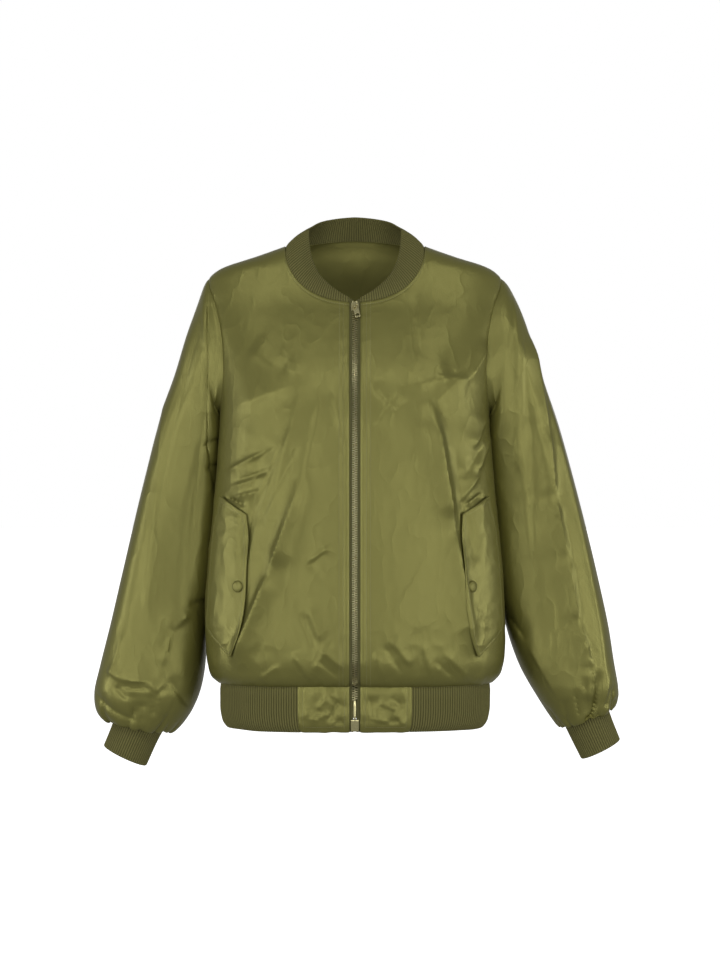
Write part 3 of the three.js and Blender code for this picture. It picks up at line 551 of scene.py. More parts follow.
def panel_place(column, row, side):
    """x and z over half a panel for a row of columns and a column of rows."""
    middle = ZIP_EDGE if side < 0 else 0
    s = column_part(column)
    z = mix(HEM_Z, UNDERARM_Z, (np.minimum(row, LOWER_ROWS) / LOWER_ROWS) ** ROW_SPREAD)
    level = np.stack(np.broadcast_arrays(mix(middle, body.half(z), s), z), -1)
    t = np.clip((row - LOWER_ROWS) / UPPER_ROWS, 0, 1)[..., None]
    s = s[..., None]
    low, armpit = np.array([middle, UNDERARM_Z]), np.array([float(body.half(UNDERARM_Z)), UNDERARM_Z])
    shoulder = np.array([float(body.half(SHOULDER_Z)), SHOULDER_Z])
    neck_end = top_edge(np.array(0.0), side)
    arm = armhole(np.pi * (1 - t[..., 0]), side)[..., [0, 2]]
    up_down = mix(mix(low, armpit, s), top_edge(s[..., 0], side), t)
    left_right = mix(mix(low, neck_end, t), arm, s)
    corners = mix(mix(low, armpit, s), mix(neck_end, shoulder, s), t)
    return np.where((row <= LOWER_ROWS)[..., None], level, up_down + left_right - corners)


print("shoulder point in mm:", top_edge(np.array(1.0), 1).round(1))


# %% [markdown]
# ## Folds and creases
#
# A fold is a bell-shaped ridge or trough along a line, and fades out at both ends. Cloth also has creases,
# which are narrower and crisper, gathers where it is drawn into a rib, and a slow unevenness all over. Each
# of these is a height over the panel, and the heights are added up.

# %% Folds, creases, gathers and unevenness
NOISE_SIDE = 64
SEAM_VALLEY, SEAM_PAD = 0.8, 0.25


def fold_height(u, w, folds, crisp=2.0, steep=1.0):
    """Sum over the folds (u1, w1, u2, w2, width, height) of height · exp(-(off / width)^crisp), where off is
    the distance to the fold's line. A higher number for crisp is rounder, and steep above 1 makes the side
    on the right of the line that much narrower and the left side that much wider."""
    total = np.zeros(np.broadcast(u, w).shape)
    for u1, w1, u2, w2, width, height in folds:
        du, dw = u2 - u1, w2 - w1
        t = ((u - u1) * du + (w - w1) * dw) / (du * du + dw * dw)
        held = np.clip(t, 0, 1)
        off = np.hypot(u - mix(u1, u2, held), w - mix(w1, w2, held))
        right = (u - u1) * dw - (w - w1) * du
        off = off * np.where(right > 0, steep, 1 / steep)
        ends = soft(t / 0.35 + 0.35) * soft((1 - t) / 0.35 + 0.35)
        total = total + height * np.exp(-((off / width) ** crisp)) * ends
    return total


def noise(u, w, seed):
    """Smooth noise from -1 to 1: seeded values on whole-number corners, blended with soft steps."""
    corners = np.random.default_rng(seed).uniform(-1, 1, (NOISE_SIDE, NOISE_SIDE))
    iu, iw = np.floor(u).astype(int), np.floor(w).astype(int)
    fu, fw = soft(u - iu), soft(w - iw)
    at = lambda a, b: corners[(iu + a) % NOISE_SIDE, (iw + b) % NOISE_SIDE]
    return mix(mix(at(0, 0), at(1, 0), fu), mix(at(0, 1), at(1, 1), fu), fw)


def crumple(u, w, seed):
    """Creased noise from about 0 to 1: crests where two warped noises cross zero, as in pressed cloth."""
    bent = u + 0.7 * noise(u * 0.6, w * 0.6, seed + 1)
    crest = 1 - np.sqrt(noise(bent, w, seed) ** 2 + 0.01)
    return crest**3 * soft(noise(u * 0.45, w * 0.45, seed + 2) + 0.6)


def gathers(u, off, around, count, deep, long, seed):
    """Gathers along a seam: seeded troughs across it, each a bell in the way u along the seam (which comes
    back to its start after around), fading with the distance off from the seam."""
    rng = np.random.default_rng(seed)
    total = np.zeros(np.broadcast(u, off).shape)
    for k in range(count):
        at = (k + rng.uniform(-0.35, 0.35)) * around / count
        wide = rng.uniform(0.22, 0.42) * around / count
        reach = rng.uniform(*long)
        lean = rng.uniform(-0.25, 0.25)
        away = (u + lean * off - at + around / 2) % around - around / 2
        low = rng.uniform(*deep)
        total = total - low * np.exp(-(np.abs(away / wide) ** 1.3)) * bell(off, 0, reach)
    return total


def pleats(u, off, around, count, deep, long, seed):
    """Pleats from a seam: as gathers, but each trough is a V with one steep side, exp(-|away| / wide), and
    its depth falls straight to nothing at its own reach."""
    rng = np.random.default_rng(seed)
    total = np.zeros(np.broadcast(u, off).shape)
    for k in range(count):
        at = (k + rng.uniform(-0.3, 0.3)) * around / count
        wide, reach = rng.uniform(0.22, 0.4) * around / count, rng.uniform(*long)
        lean = rng.uniform(-0.3, 0.3)
        away = (u + lean * off - at + around / 2) % around - around / 2
        wide = np.where(away * rng.choice([-1, 1]) > 0, wide, wide * 0.3)
        total = total - rng.uniform(*deep) * np.exp(-np.abs(away) / wide) * np.clip(1 - off / reach, 0, 1)
    return total


def seam_roll(off):
    """Cloth turning into a seam: a valley that closes within two millimetres, then a faint pad where the
    seam's allowances lie under it."""
    return -SEAM_VALLEY * np.exp(-off / 1.0) + SEAM_PAD * bell(off, 5, 3)


def run(points, axis, back=False):
    """Length along each line of a grid from its first point, or from its last."""
    points = np.flip(points, axis) if back else points
    steps = np.linalg.norm(np.diff(points, axis=axis), axis=-1)
    pad = [(0, 0), (0, 0)]
    pad[axis] = (1, 0)
    total = np.cumsum(np.pad(steps, pad), axis=axis)
    return np.flip(total, axis) if back else total


# %% [markdown]
# ## From a grid to a piece
#
# Every cloth piece is one closed skin: the outer grid, then the inner grid back again, so that each row of
# the whole is a loop. The skin goes round a sleeve as a ring of such loops. Its UV map holds the two ways
# along the cloth in metres, for the weave.

# %% Skins
PIECE_TRIANGLES = []


def skin(points, flat, ring=False):
    """Quads over a grid whose rows are closed loops, and the cloth place of each corner. A ring's last row
    meets its first; otherwise a strip between the two halves of the loop closes each end."""
    rows, columns = points.shape[:2]
    number = np.arange(rows * columns).reshape(rows, columns)
    ahead = lambda grid: np.roll(grid, -1, axis=1)
    low = number if ring else number[:-1]
    high = np.roll(number, -1, axis=0) if ring else number[1:]
    quads = np.stack([low, ahead(low), ahead(high), high], -1).reshape(-1, 4)
    a, b = flat[:-1], flat[1:]
    places = np.stack([a, ahead(a), ahead(b), b], 2).reshape(-1, 4, 2)
    if not ring:
        i = np.arange(columns // 2 - 1)
        cap = np.stack([i, i + 1, columns - 2 - i, columns - 1 - i], -1)
        for at, order in ((0, slice(None, None, -1)), (rows - 1, slice(None))):
            quads = np.concatenate([quads, cap[:, order] + at * columns])
            places = np.concatenate([places, flat[at][cap[:, order]]])
    return quads, places


def facing_out(points, quads, places):
    """The same quads, all turned round if they enclose a negative volume."""
    a, b, c, d = (points[quads[:, k]] for k in range(4))
    volume = (a * np.cross(b, c)).sum() + (a * np.cross(c, d)).sum()
    return (quads, places) if volume > 0 else (quads[:, ::-1], places[:, ::-1])


def add_piece(name, points, faces, finish, nodes=(), places=None, rides="jacket", sharp=40):
    """A mesh object from places in millimetres and faces, on its body, standing for the nodes named."""
    mesh = bpy.data.meshes.new(name)
    mesh.from_pydata((points * MM).tolist(), [], [list(map(int, f)) for f in faces])
    if places is not None:
        mesh.uv_layers.new(name="cloth").data.foreach_set("uv", places.ravel())
    mesh.materials.append(finish)
    mesh.shade_smooth()
    mesh.set_sharp_from_angle(angle=math.radians(sharp))
    thing = bpy.data.objects.new("sewn_" + name, mesh)
    bpy.context.scene.collection.objects.link(thing)
    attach(thing, rides)
    if nodes:
        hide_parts(*nodes)
    PIECE_TRIANGLES.append((name, sum(len(f) - 2 for f in faces)))
    return thing


def add_skin(name, points, flat, finish, nodes, ring=False, sharp=40, inside=None):
    """The skin of a grid as a piece. Its inner half can have a finish of its own: the cloth's reverse,
    lightened with painted light.
    """
    columns = points.shape[1]
    quads, places = skin(points, flat, ring)
    points = points.reshape(-1, 3)
    quads, places = facing_out(points, quads, places)
    thing = add_piece(name, points, quads, finish, nodes, places, sharp=sharp)
    if inside is not None:
        thing.data.materials.append(inside)
        behind = (quads % columns).min(axis=1) >= columns // 2
        thing.data.polygons.foreach_set("material_index", behind.astype(np.int32))
    return thing


def two_sided(outer, inner):
    """Rows of loops: each row of the outer grid, then the same row of the inner grid back again."""
    return np.concatenate([outer, inner[:, ::-1]], axis=1)


def cloth_map(down, over):
    """The cloth's two ways in metres over a grid, from millimetres along its rows and its columns."""
    return np.stack(np.broadcast_arrays(down, over), -1) * MM


def area_of(points):
    """Area of a grid of points, in square metres."""
    down, over = np.diff(points, axis=0)[:, :-1], np.diff(points, axis=1)[:-1]
    return float(np.linalg.norm(np.cross(down, over), axis=-1).sum()) * MM * MM


# %% [markdown]
# ## Folds of the fronts and the back
#
# These were placed from the picture: the drag lines that run from the chest down to the pockets, the
# ridge beside the left pocket, the small creases above the flaps, and the puckers over the waistband. The
# back is hidden in the picture, and gets folds of the same kind.

# %% Fold tables
# x1, z1, x2, z2, width and height in mm, the height + for a ridge and - for a trough
FRONT_FOLDS = [
    (-62, -290, -106, -416, 11, 10), (-106, -416, -152, -530, 11, 8), (-118, -262, -140, -400, 13, -5),
    (-64, -452, -42, -515, 12, -3), (-150, -210, -60, -178, 16, 3), (124, -358, 98, -215, 11, 10),
    (149, -518, 124, -358, 10, 7), (148, -400, 128, -270, 12, -5), (172, -130, 104, -204, 14, 4),
    (-131, -140, -94, -163, 16, 3), (-94, -163, -30, -182, 16, 3), (24, -178, 75, -184, 16, 3),
    (75, -184, 119, -170, 14, 3), (56, -490, 66, -550, 12, -4), (-12, -500, -60, -550, 12, -4),
]
FRONT_CREASES = [
    (-81, -240, -125, -353, 7, 1.6), (-125, -353, -132, -403, 6, 1.4), (-69, -192, -110, -352, 10, 1.8),
    (-28, -190, -14, -250, 8, 1.4), (-44, -205, -70, -330, 9, -1.2), (24, -184, 50, -215, 7, -1.3),
    (50, -196, 27, -235, 8, 1.2), (124, -358, 106, -240, 6, 1.4),
    (149, -518, 124, -358, 5, 1.2),
    (-116, -268, -159, -290, 4, 1.8), (-113, -297, -157, -312, 4, 1.7), (-121, -316, -154, -325, 3.5, 1.6),
    (-106, -416, -152, -530, 5, 1.4), (-70, -310, -106, -416, 6, 1.2),
    (-128, -336, -92, -254, 7, 1.6), (-118, -352, -70, -262, 6, -1.3),
    (-100, -262, -132, -282, 4, -1.0), (-104, -288, -146, -303, 4, -1.1),
    (-31, -385, -56, -403, 4, 1.2), (-36, -392, -60, -412, 4, -1.0), (-59, -466, -44, -504, 4, 1.4),
    (-66, -470, -52, -512, 4, -1.2), (-30, -505, -52, -540, 4, 1.3), (-78, -522, -56, -554, 5, 1.6),
    (-44, -516, -13, -541, 5, 1.6), (-48, -528, -20, -552, 4, -1.3), (-95, -535, -120, -552, 4, 1.2),
    (171, -124, 142, -176, 7, 2.6), (142, -176, 104, -174, 8, 1.8), (150, -262, 168, -222, 6, 2.2),
    (156, -292, 171, -251, 6, 2.6), (140, -300, 160, -262, 5, -1.8), (134, -330, 158, -296, 5, 2.0),
    (70, -70, 76, -150, 4, -0.7), (79, -70, 84, -140, 4, 0.7),
    (44, -503, 69, -535, 5, 1.5), (36, -512, 58, -545, 4, -1.2), (113, -522, 144, -554, 5, 1.5),
    (100, -530, 128, -556, 4, -1.2), (84, -508, 96, -550, 5, 1.1), (24, -520, 34, -552, 4, 1.2),
    (-162, -326, -139, -336, 3.5, -2.4), (160, -320, 142, -334, 3.5, -2.4),
]
FOLD_CRISP, FOLD_STEEP = 1.4, 1.6
CREASE_CRISP, CREASE_STEEP, CREASE_HIGH = 1.0, 2.2, 1.6
BACK_FOLDS = [
    (-60, -120, -128, -300, 18, 4), (-104, -230, -140, -515, 18, 6), (-70, -330, -84, -545, 16, -5),
    (20, -300, 6, -535, 20, 4), (64, -120, 122, -290, 18, 4), (110, -240, 146, -525, 18, 6),
    (78, -340, 98, -550, 16, -5),
]
BACK_CREASES = [
    (-150, -250, -100, -275, 5, 1.4), (-156, -270, -112, -300, 5, -1.2), (150, -246, 96, -270, 5, 1.4),
    (158, -266, 110, -296, 5, -1.2), (-40, -210, -62, -330, 8, 1.4), (44, -190, 60, -320, 8, 1.4),
    (-20, -430, -34, -520, 6, 1.4), (40, -440, 52, -530, 6, -1.4), (-100, -500, -84, -548, 5, 1.6),
    (92, -496, 70, -545, 5, 1.6), (-50, -520, -30, -552, 4, -1.3), (130, -505, 118, -550, 5, -1.3),
    (-30, -60, -90, -110, 10, 1.2), (30, -60, 92, -112, 10, 1.2),
]
PANEL_FADE_HEM, PANEL_FADE_TOP, PANEL_FADE_SIDE, PANEL_FADE_ZIP = 0.08, 0.12, 0.2, 2
SHELL_THICK = 1.2
print("folds and creases:", len(FRONT_FOLDS + FRONT_CREASES + BACK_FOLDS + BACK_CREASES))

# %% [markdown]
# ## Fronts and back
#
# The grid is dense, a point every two or three millimetres, and closer still beside the seams, where the
# cloth turns in. At the hem the waistband gathers the shell. Along the zip the edge is folded under and
# stitched down, which leaves a shallow valley.

# %% Fronts and back


def graded(low, high, count, fine):
    """Steps from low to high, with some added close to each end at the fractions in fine."""
    whole = np.linspace(low, high, count + 1)
    ends = [low + f for f in fine] + [high - f for f in fine]
    return np.unique(np.round(np.concatenate([whole, ends]), 6))


def even_columns(count):
    """Columns from the middle to the side seam whose lines lie evenly spaced round the chest."""
    fine = np.linspace(0, COLUMNS, 2000)
    x, z = CHEST_HALF * column_part(fine), np.full(2000, float(UNDERARM_Z))
    steps = np.linalg.norm(np.diff(body.point(x, z, -1), axis=0), axis=-1)
    even = np.interp(np.linspace(0, 1, count + 1), np.append(0, np.cumsum(steps)) / steps.sum(), fine)
    return np.unique(np.round(np.concatenate([even, SEAM_STEPS, COLUMNS - SEAM_STEPS]), 6))


CHEST_HALF = float(body.half(UNDERARM_Z))
SEAM_STEPS = np.array([0.02, 0.05, 0.085])
COLUMN_STEPS, BACK_STEPS = even_columns(108), even_columns(80)
ROW_STEPS = np.unique(np.round(np.concatenate([
    LOWER_ROWS * graded(0, 1, 150, (0.0015, 0.003, 0.006)) ** (1 / ROW_SPREAD),
    LOWER_ROWS + graded(0, UPPER_ROWS, 84, (0.04, 0.09)),
]), 6))
ZIP_STITCH, NECK_STITCH = 8.0, 5.0
ZIP_ROWS = 5.0  # between the two rows of stitches beside the zip
HEM_GATHERS, HEM_AROUND = 58, 1000
NEAR_SEAM = 14  # mm from a seam over which the relief grows to its full height


def panel_grid(side, hand, columns, folds, creases, seed):
    """The outer and inner grid of a panel, in mm. hand is 1 or -1, or one for each column."""
    column, row = np.abs(columns)[None, :], ROW_STEPS[:, None]
    place = panel_place(column, row, side)
    base = body.point(place[..., 0], place[..., 1], side)
    normal = body.normal(base, side)
    x, z = hand * base[..., 0], base[..., 2]
    side_off, top_off, hem_off = run(base, 1, True), run(base, 0, True), run(base, 0)
    if side > 0:
        side_off = np.minimum(side_off, run(base, 1))
    up, over = row / (LOWER_ROWS + UPPER_ROWS), column / COLUMNS
    levels = soft(up / PANEL_FADE_HEM) * soft((1 - up) / PANEL_FADE_TOP)
    edges = soft((1 - over) / PANEL_FADE_SIDE)
    if side < 0:
        edges = edges * soft((column - 1) / PANEL_FADE_ZIP)
    lift = levels * edges * fold_height(x, z, folds, FOLD_CRISP, FOLD_STEEP)
    near = soft(side_off / NEAR_SEAM) * soft(top_off / NEAR_SEAM)
    across = np.where(hand * np.ones_like(x) > 0, HEM_AROUND, 0) + run(base, 1)
    small = CREASE_HIGH * fold_height(x, z, creases, CREASE_CRISP, CREASE_STEEP)
    busy = 0.25 + soft((-440 - z) / 90) + soft((np.abs(x) - 105) / 60) * soft((-200 - z) / 60)
    small = small + 0.8 * noise(x / 60, z / 110, seed) + 0.9 * busy * crumple(x / 34, z / 52, seed + 5)
    small = small + 0.5 * busy * crumple(x / 15, z / 20, seed + 9)
    if side < 0:
        small = small * soft((run(base, 1) - 2) / NEAR_SEAM)
    lift = lift + near * small
    drawn = gathers(across, hem_off, HEM_AROUND, HEM_GATHERS, (0.1, 0.9), (5, 20), seed + 20)
    lift = lift + drawn * soft(side_off / 10)
    lift = lift + seam_roll(side_off) + seam_roll(top_off) + seam_roll(hem_off)
    at_neck = soft((NECK_COLUMN + 0.4 - column) / 0.4)
    lift = lift - 0.6 * at_neck * bell(top_off, NECK_STITCH, 1.3)
    lift = lift + 0.5 * noise(side_off / 9, z / 11, seed + 30) * np.exp(-side_off / 9) * soft(side_off / 3)
    if side < 0:
        zip_off = run(base, 1)
        lift = lift - 1.1 * np.exp(-zip_off / 0.9) - 0.7 * bell(zip_off, ZIP_STITCH, 1.4)
        lift = lift + 0.28 * noise(zip_off / 12, z / 7, seed + 31) * bell(zip_off, 5, 6)
    outer = base + normal * lift[..., None]
    inner = outer - normal * SHELL_THICK
    for grid in (outer, inner):
        grid[..., 0] *= hand
    return outer, inner


def add_panel(name, outer, inner, flat_size):
    """A panel's skin. Its cloth, the outer grid's own area but no more than its whole cut, is worked out
    and not used further.
    """
    flat = cloth_map(run(outer, 1), run(outer, 0))
    points = two_sided(outer, inner)
    thing = add_skin(name, points, two_sided(flat, flat), SHELL, [name], inside=REVERSE_AND_LIT_FINISH)
    area = area_of(outer)
    cloth = min(area, flat_size[0] * flat_size[1])
    print(name, "quads", len(thing.data.polygons), "area", round(area, 4))


PANELS = {}
for name, hand, seed in (("front_left", 1, 3), ("front_right", -1, 4)):
    PANELS[name] = panel_grid(-1, hand, COLUMN_STEPS, FRONT_FOLDS, FRONT_CREASES, seed)
    add_panel(name, *PANELS[name], (0.285, 0.60))
BACK_COLUMNS = np.concatenate([-BACK_STEPS[:0:-1], BACK_STEPS])
back_hands = np.where(BACK_COLUMNS < 0, -1, 1)
PANELS["back"] = panel_grid(1, back_hands, BACK_COLUMNS, BACK_FOLDS, BACK_CREASES, 5)
add_panel("back", *PANELS["back"], (0.52, 0.60))

# %% [markdown]
# ## Sleeves
#
# A sleeve starts on the armhole and runs through sections that a table gives: the outer and the inner point
# of each as seen from the front, its middle and half its depth. The main folds are placed by the angle round
# the sleeve, and the creases that the picture shows by where they are seen.

# %% Sleeve tables
SECTION = "outX outZ inX inZ y depth"
SLEEVES = {
    "left": table(
        SECTION,
        (199, -50, 178, -231, 4, 57), (212, -75, 179, -242, 11, 61), (227, -115, 180, -257, 20, 65),
        (243, -165, 181, -279, 30, 67), (265, -228, 182, -307, 38, 68), (286, -300, 185, -343, 43, 67),
        (303, -366, 189, -392, 44, 65), (318, -430, 194, -444, 43, 63), (331, -490, 201, -498, 40, 61),
        (339, -540, 216, -545, 37, 58), (345, -575, 237, -583, 34, 54), (345, -596, 254, -609, 33, 47),
        (338, -605, 268, -628, 32, 38), (331, -597, 273, -620, 32, 33),
    ),
    "right": table(
        SECTION,
        (196, -50, 178, -231, 4, 57), (205, -75, 179, -242, 11, 61), (219, -115, 180, -257, 20, 65),
        (234, -165, 181, -279, 30, 68), (256, -228, 182, -307, 38, 70), (275, -300, 184, -343, 43, 70),
        (291, -366, 188, -392, 44, 69), (306, -430, 192, -444, 43, 67), (320, -490, 195, -498, 41, 66),
        (334, -545, 198, -551, 38, 65), (342, -580, 206, -587, 35, 62), (339, -606, 222, -617, 33, 54),
        (326, -620, 241, -635, 32, 43), (315, -612, 249, -626, 32, 36),
    ),
}
CUFFS = {
    "left": table(
        SECTION, (331, -597.5, 273, -620.5, 32, 33), (338, -618, 283, -641, 31, 30.5),
        (348, -643, 297, -669, 30, 29),
    ),
    "right": table(
        SECTION, (315, -612.5, 249, -626.5, 32, 36), (321, -629, 260, -647, 31, 33),
        (330, -651, 274, -678, 30, 31),
    ),
}
# turn in degrees (0 outside, 90 in front) and share of the length, twice, then width and height in mm
SLEEVE_FOLDS = {
    "left": [
        (62, 0.1, 96, 0.6, 16, 3), (36, 0.15, 58, 0.9, 16, 3), (84, 0.8, 88, 0.93, 9, -3),
        (22, 0.82, 18, 0.93, 12, -5), (258, 0.15, 272, 0.6, 16, 5), (300, 0.25, 310, 0.9, 16, -5),
    ],
    "right": [
        (96, 0.1, 112, 0.55, 15, -3), (60, 0.12, 84, 0.55, 18, -3), (20, 0.78, 96, 0.88, 9, -3),
        (258, 0.15, 270, 0.6, 16, 5), (300, 0.25, 310, 0.9, 16, -5),
    ],
}
# As the fronts' tables, in x and z as seen from the front, and the back's creases as seen through it
SLEEVE_CREASES = {
    "left": [
        (204, -70, 208, -199, 5, 1.6), (208, -199, 209, -290, 5, 1.4), (249, -238, 226, -122, 8, 3.2),
        (259, -328, 249, -238, 8, 3.4), (277, -406, 259, -328, 7, 3.4), (290, -487, 277, -406, 7, 3.4),
        (309, -548, 290, -487, 6, 3.0), (308, -588, 309, -548, 5, 1.8), (215, -128, 232, -406, 7, -2.2),
        (194, -470, 219, -509, 4, -2.0),
        (240, -330, 268, -352, 4, 0.9), (225, -520, 262, -585, 6, 1.2),
        (303, -513, 309, -603, 5, -2.0), (313, -552, 312, -600, 4, -2.0), (333, -570, 325, -598, 5, -2.2),
        (296, -560, 300, -606, 5, -2.0), (283, -575, 290, -612, 4, -1.8), (268, -588, 276, -620, 4, -1.5),
    ],
    "right": [
        (-188, -60, -190, -200, 5, -2.2), (-190, -200, -186, -330, 5, -2.2),
        (-186, -330, -184, -430, 5, -1.8), (-240, -109, -255, -300, 9, 1.4),
        (-255, -300, -272, -483, 9, 1.6), (-172, -241, -194, -261, 4, -1.7),
        (-172, -270, -192, -290, 4, -1.7), (-191, -455, -213, -464, 4, -2.2),
        (-245, -541, -236, -496, 5, 2.0), (-236, -496, -213, -477, 5, 2.0),
        (-228, -480, -250, -520, 6, -1.4), (-300, -500, -318, -560, 8, 1.0),
        (-240, -560, -215, -600, 6, -1.2), (-320, -548, -303, -561, 5, 1.6),
        (-303, -561, -268, -563, 5, 2.0), (-268, -563, -254, -577, 5, 2.0),
        (-254, -577, -252, -608, 5, 2.0), (-300, -570, -268, -572, 5, -1.6),
        (-263, -580, -261, -608, 4, -1.6), (-288, -577, -286, -612, 4, -2.2),
        (-310, -570, -294, -586, 4, -1.6), (-276, -590, -279, -616, 4, -1.6),
    ],
}
SLEEVE_RADIUS, SLEEVE_LONG = 62, 560
SLEEVE_PRESSED, PRESSED_TURN, SLEEVE_SQUARE = 9.0, 2.75, 1.5
SLEEVE_FADE_ARM, SLEEVE_FADE_CUFF = 0.06, 0.08
CUFF_RADIUS, HEAD_RADIUS = 36, 60
# count, least and most depth, least and most reach, distance over which they begin, and seed
CUFF_PLEATS = ((15, (3.5, 7.5), (30, 80), 9, 20), (26, (1.0, 3.0), (12, 40), 6, 22))


def ring_points(sections, turn, rise=0.0, square=2.0):
    """Ovals between the outer and the inner points of sections: one row a section, one column a turn.
    A square of 2 gives an ellipse, and a higher one flattens the front, as cloth hangs."""
    out_x, out_z, in_x, in_z, y, depth = (sections[name][:, None] for name in SECTION.split())
    across, deep = (np.sign(v) * np.abs(v) ** (2 / square) for v in (np.cos(turn), np.sin(turn)))
    reach = (0.5 + rise / np.hypot(out_x - in_x, out_z - in_z)) * across
    x = (out_x + in_x) / 2 + reach * (out_x - in_x)
    z = (out_z + in_z) / 2 + reach * (out_z - in_z)
    return np.stack([x, y - (depth + rise) * deep, z], -1)


def grid_normals(points):
    """Unit normals of a grid that is closed along its second axis, from central differences."""
    along = np.gradient(points, axis=0)
    across = np.roll(points, -1, 1) - np.roll(points, 1, 1)
    return unit(np.cross(across, along))


# %% [markdown]
# ## Sleeve surfaces
#
# The ovals are joined by one smooth surface from the armhole to the cuff. A real sleeve is cut wider than the
# cuff and gathered into it, so deep pleats fall from the cuff upwards, and at the top the cloth is eased in
# with small gathers. Under the arm the sleeve is pressed out a little, where it lies against the body.

# %% Sleeves
SLEEVE_COLUMNS = 156
SLEEVE_TURNS = np.pi + TURN * np.arange(SLEEVE_COLUMNS) / SLEEVE_COLUMNS
SLEEVE_STEPS = graded(0, 1, 220, (0.0015, 0.0035))


def sleeve_spot(degrees, share):
    """A place on the sleeve laid flat, from its angle and its share of the length."""
    return math.radians(degrees) * SLEEVE_RADIUS, share * SLEEVE_LONG


def sleeve_grid(sections, hand, folds, creases, seed):
    """The outer and inner grid of a sleeve in mm: rows along it, columns round it."""
    turn, along = SLEEVE_TURNS, SLEEVE_STEPS
    side = np.where(np.sin(turn) > 0, -1, 1)
    edge = armhole(np.arccos(np.cos(turn)), side)
    ring_share = np.linspace(0, 1, len(sections["y"]))[:, None]
    square = 2 + SLEEVE_SQUARE * soft(ring_share / 0.2) * soft((1 - ring_share) / 0.5)
    points = np.concatenate([edge[None], ring_points(sections, turn, square=square)])
    base = through(np.arange(len(points)), points)(along * (len(points) - 1))
    off, far = run(base, 0), run(base, 0, True)
    seam_normal = body.normal(base[0], side)
    normal = unit(mix(seam_normal, grid_normals(base), soft(off / NEAR_SEAM)[..., None]))
    share = along[:, None]
    degrees = np.degrees(turn) % 360
    u, w = np.radians(degrees)[None, :] * SLEEVE_RADIUS, share * SLEEVE_LONG
    main = [(*sleeve_spot(t1, a1), *sleeve_spot(t2, a2), *shape) for t1, a1, t2, a2, *shape in folds]
    ends = soft(share / SLEEVE_FADE_ARM) * soft((1 - share) / SLEEVE_FADE_CUFF)
    lift = ends * fold_height(u, w, main, FOLD_CRISP)
    x, z = hand * base[..., 0], base[..., 2]
    facing = soft(np.sin(turn) / 0.45)
    behind = soft(-np.sin(turn) / 0.45)
    small = CREASE_HIGH * fold_height(x, z, creases, CREASE_CRISP, CREASE_STEEP) * facing
    mirrored = [(x1, z1 - 18, x2, z2 + 12, wide * 1.2, high) for x1, z1, x2, z2, wide, high in creases[1::2]]
    small = small + fold_height(x, z, mirrored, CREASE_CRISP, CREASE_STEEP) * behind
    busy = 0.06 + soft((share - 0.72) / 0.2)
    small = small + 0.5 * noise(x / 60 + 3, z / 150, seed)
    small = small + 1.2 * busy * crumple(x / 30 + base[..., 1] / 40, z / 60, seed + 5)
    small = small + 0.7 * busy * crumple(x / 15 + base[..., 1] / 20, z / 22, seed + 9)
    lift = lift + soft(off / NEAR_SEAM) * soft(far / 8) * small
    for count, deep, long, begin, more in CUFF_PLEATS:
        drawn = pleats(turn * CUFF_RADIUS, far, TURN * CUFF_RADIUS, count, deep, long, seed + more)
        lift = lift + drawn * soft(far / begin + 0.1)
    pressed = bell(turn % TURN, PRESSED_TURN, 0.5) * soft((share - 0.005) / 0.03) * soft((0.7 - share) / 0.2)
    lift = lift + SLEEVE_PRESSED * pressed
    lift = lift + seam_roll(off) + seam_roll(far)
    head = soft((np.cos(turn)[None, :] + 0.2) * 2)
    eased = gathers(turn * HEAD_RADIUS, off, TURN * HEAD_RADIUS, 26, (0.2, 0.9), (6, 16), seed + 21)
    lift = lift + eased * head * soft(off / 3)
    outer = base + normal * lift[..., None]
    inner = outer - normal * SHELL_THICK
    for grid in (outer, inner):
        grid[..., 0] *= hand
    return outer, inner


def add_tube(name, outer, inner, flat_size):
    """A sleeve's skin: one loop of outer and inner points for each turn, and the ring of loops closed. Its
    cloth, the outer grid's own area but no more than its whole cut, is worked out and not used further."""
    points = np.concatenate([outer, inner[::-1]], axis=0).swapaxes(0, 1)
    first = np.concatenate([outer, outer[:, :1]], axis=1)
    flat = cloth_map(run(first, 1), run(first, 0))
    flat = np.concatenate([flat, flat[::-1]], axis=0).swapaxes(0, 1)
    thing = add_skin(name, points, flat, SHELL, [name], ring=True, inside=REVERSE_AND_LIT_FINISH)
    area = area_of(first)
    cloth = min(area, flat_size[0] * flat_size[1])
    print(name, "quads", len(thing.data.polygons), "area", round(area, 4))


for key, hand, seed in (("left", 1, 40), ("right", -1, 60)):
    grids = sleeve_grid(SLEEVES[key], hand, SLEEVE_FOLDS[key], SLEEVE_CREASES[key], seed)
    add_tube(f"sleeve_{key}", *grids, (0.46, 0.62))

# %% [markdown]
# ## Rib knit pieces
#
# A rib band is knitted, folded double and sewn on along both raw edges, so its free edge is a round fold and
# the ribs go over it to the inside. Its section is carried along the seam: up the outside, round the fold,
# down the inside. Across the ribs the surface follows |cos|, which gives rounded tops and narrow grooves.

# %% The ribs' section
RIB_THICK, RIB_DEEP, RIB_PITCH = 2.6, 0.9, 3.25
RIB_FOLD = RIB_THICK / 2  # the radius of the free edge
RIB_POINTS, BAND_POINTS = 7, 6
FOLD_STEPS = 5


def band_section(steps):
    """The section of a folded band: down from 0 at the seam to 1 at the fold, round the fold and back up.
    Gives the share of the height, the reach beyond it as a share of the fold's radius, and which face a
    point is on: 1 outside, -1 inside, and between them round the fold."""
    up = np.linspace(0, 1, steps) ** 0.8
    arc = np.pi * np.arange(1, FOLD_STEPS) / FOLD_STEPS
    share = np.concatenate([up, np.ones(len(arc)), up[::-1]])
    reach = np.concatenate([np.zeros(steps), np.sin(arc), np.zeros(steps)])
    outward = np.concatenate([np.ones(steps), np.cos(arc), -np.ones(steps)])
    return share, reach, outward


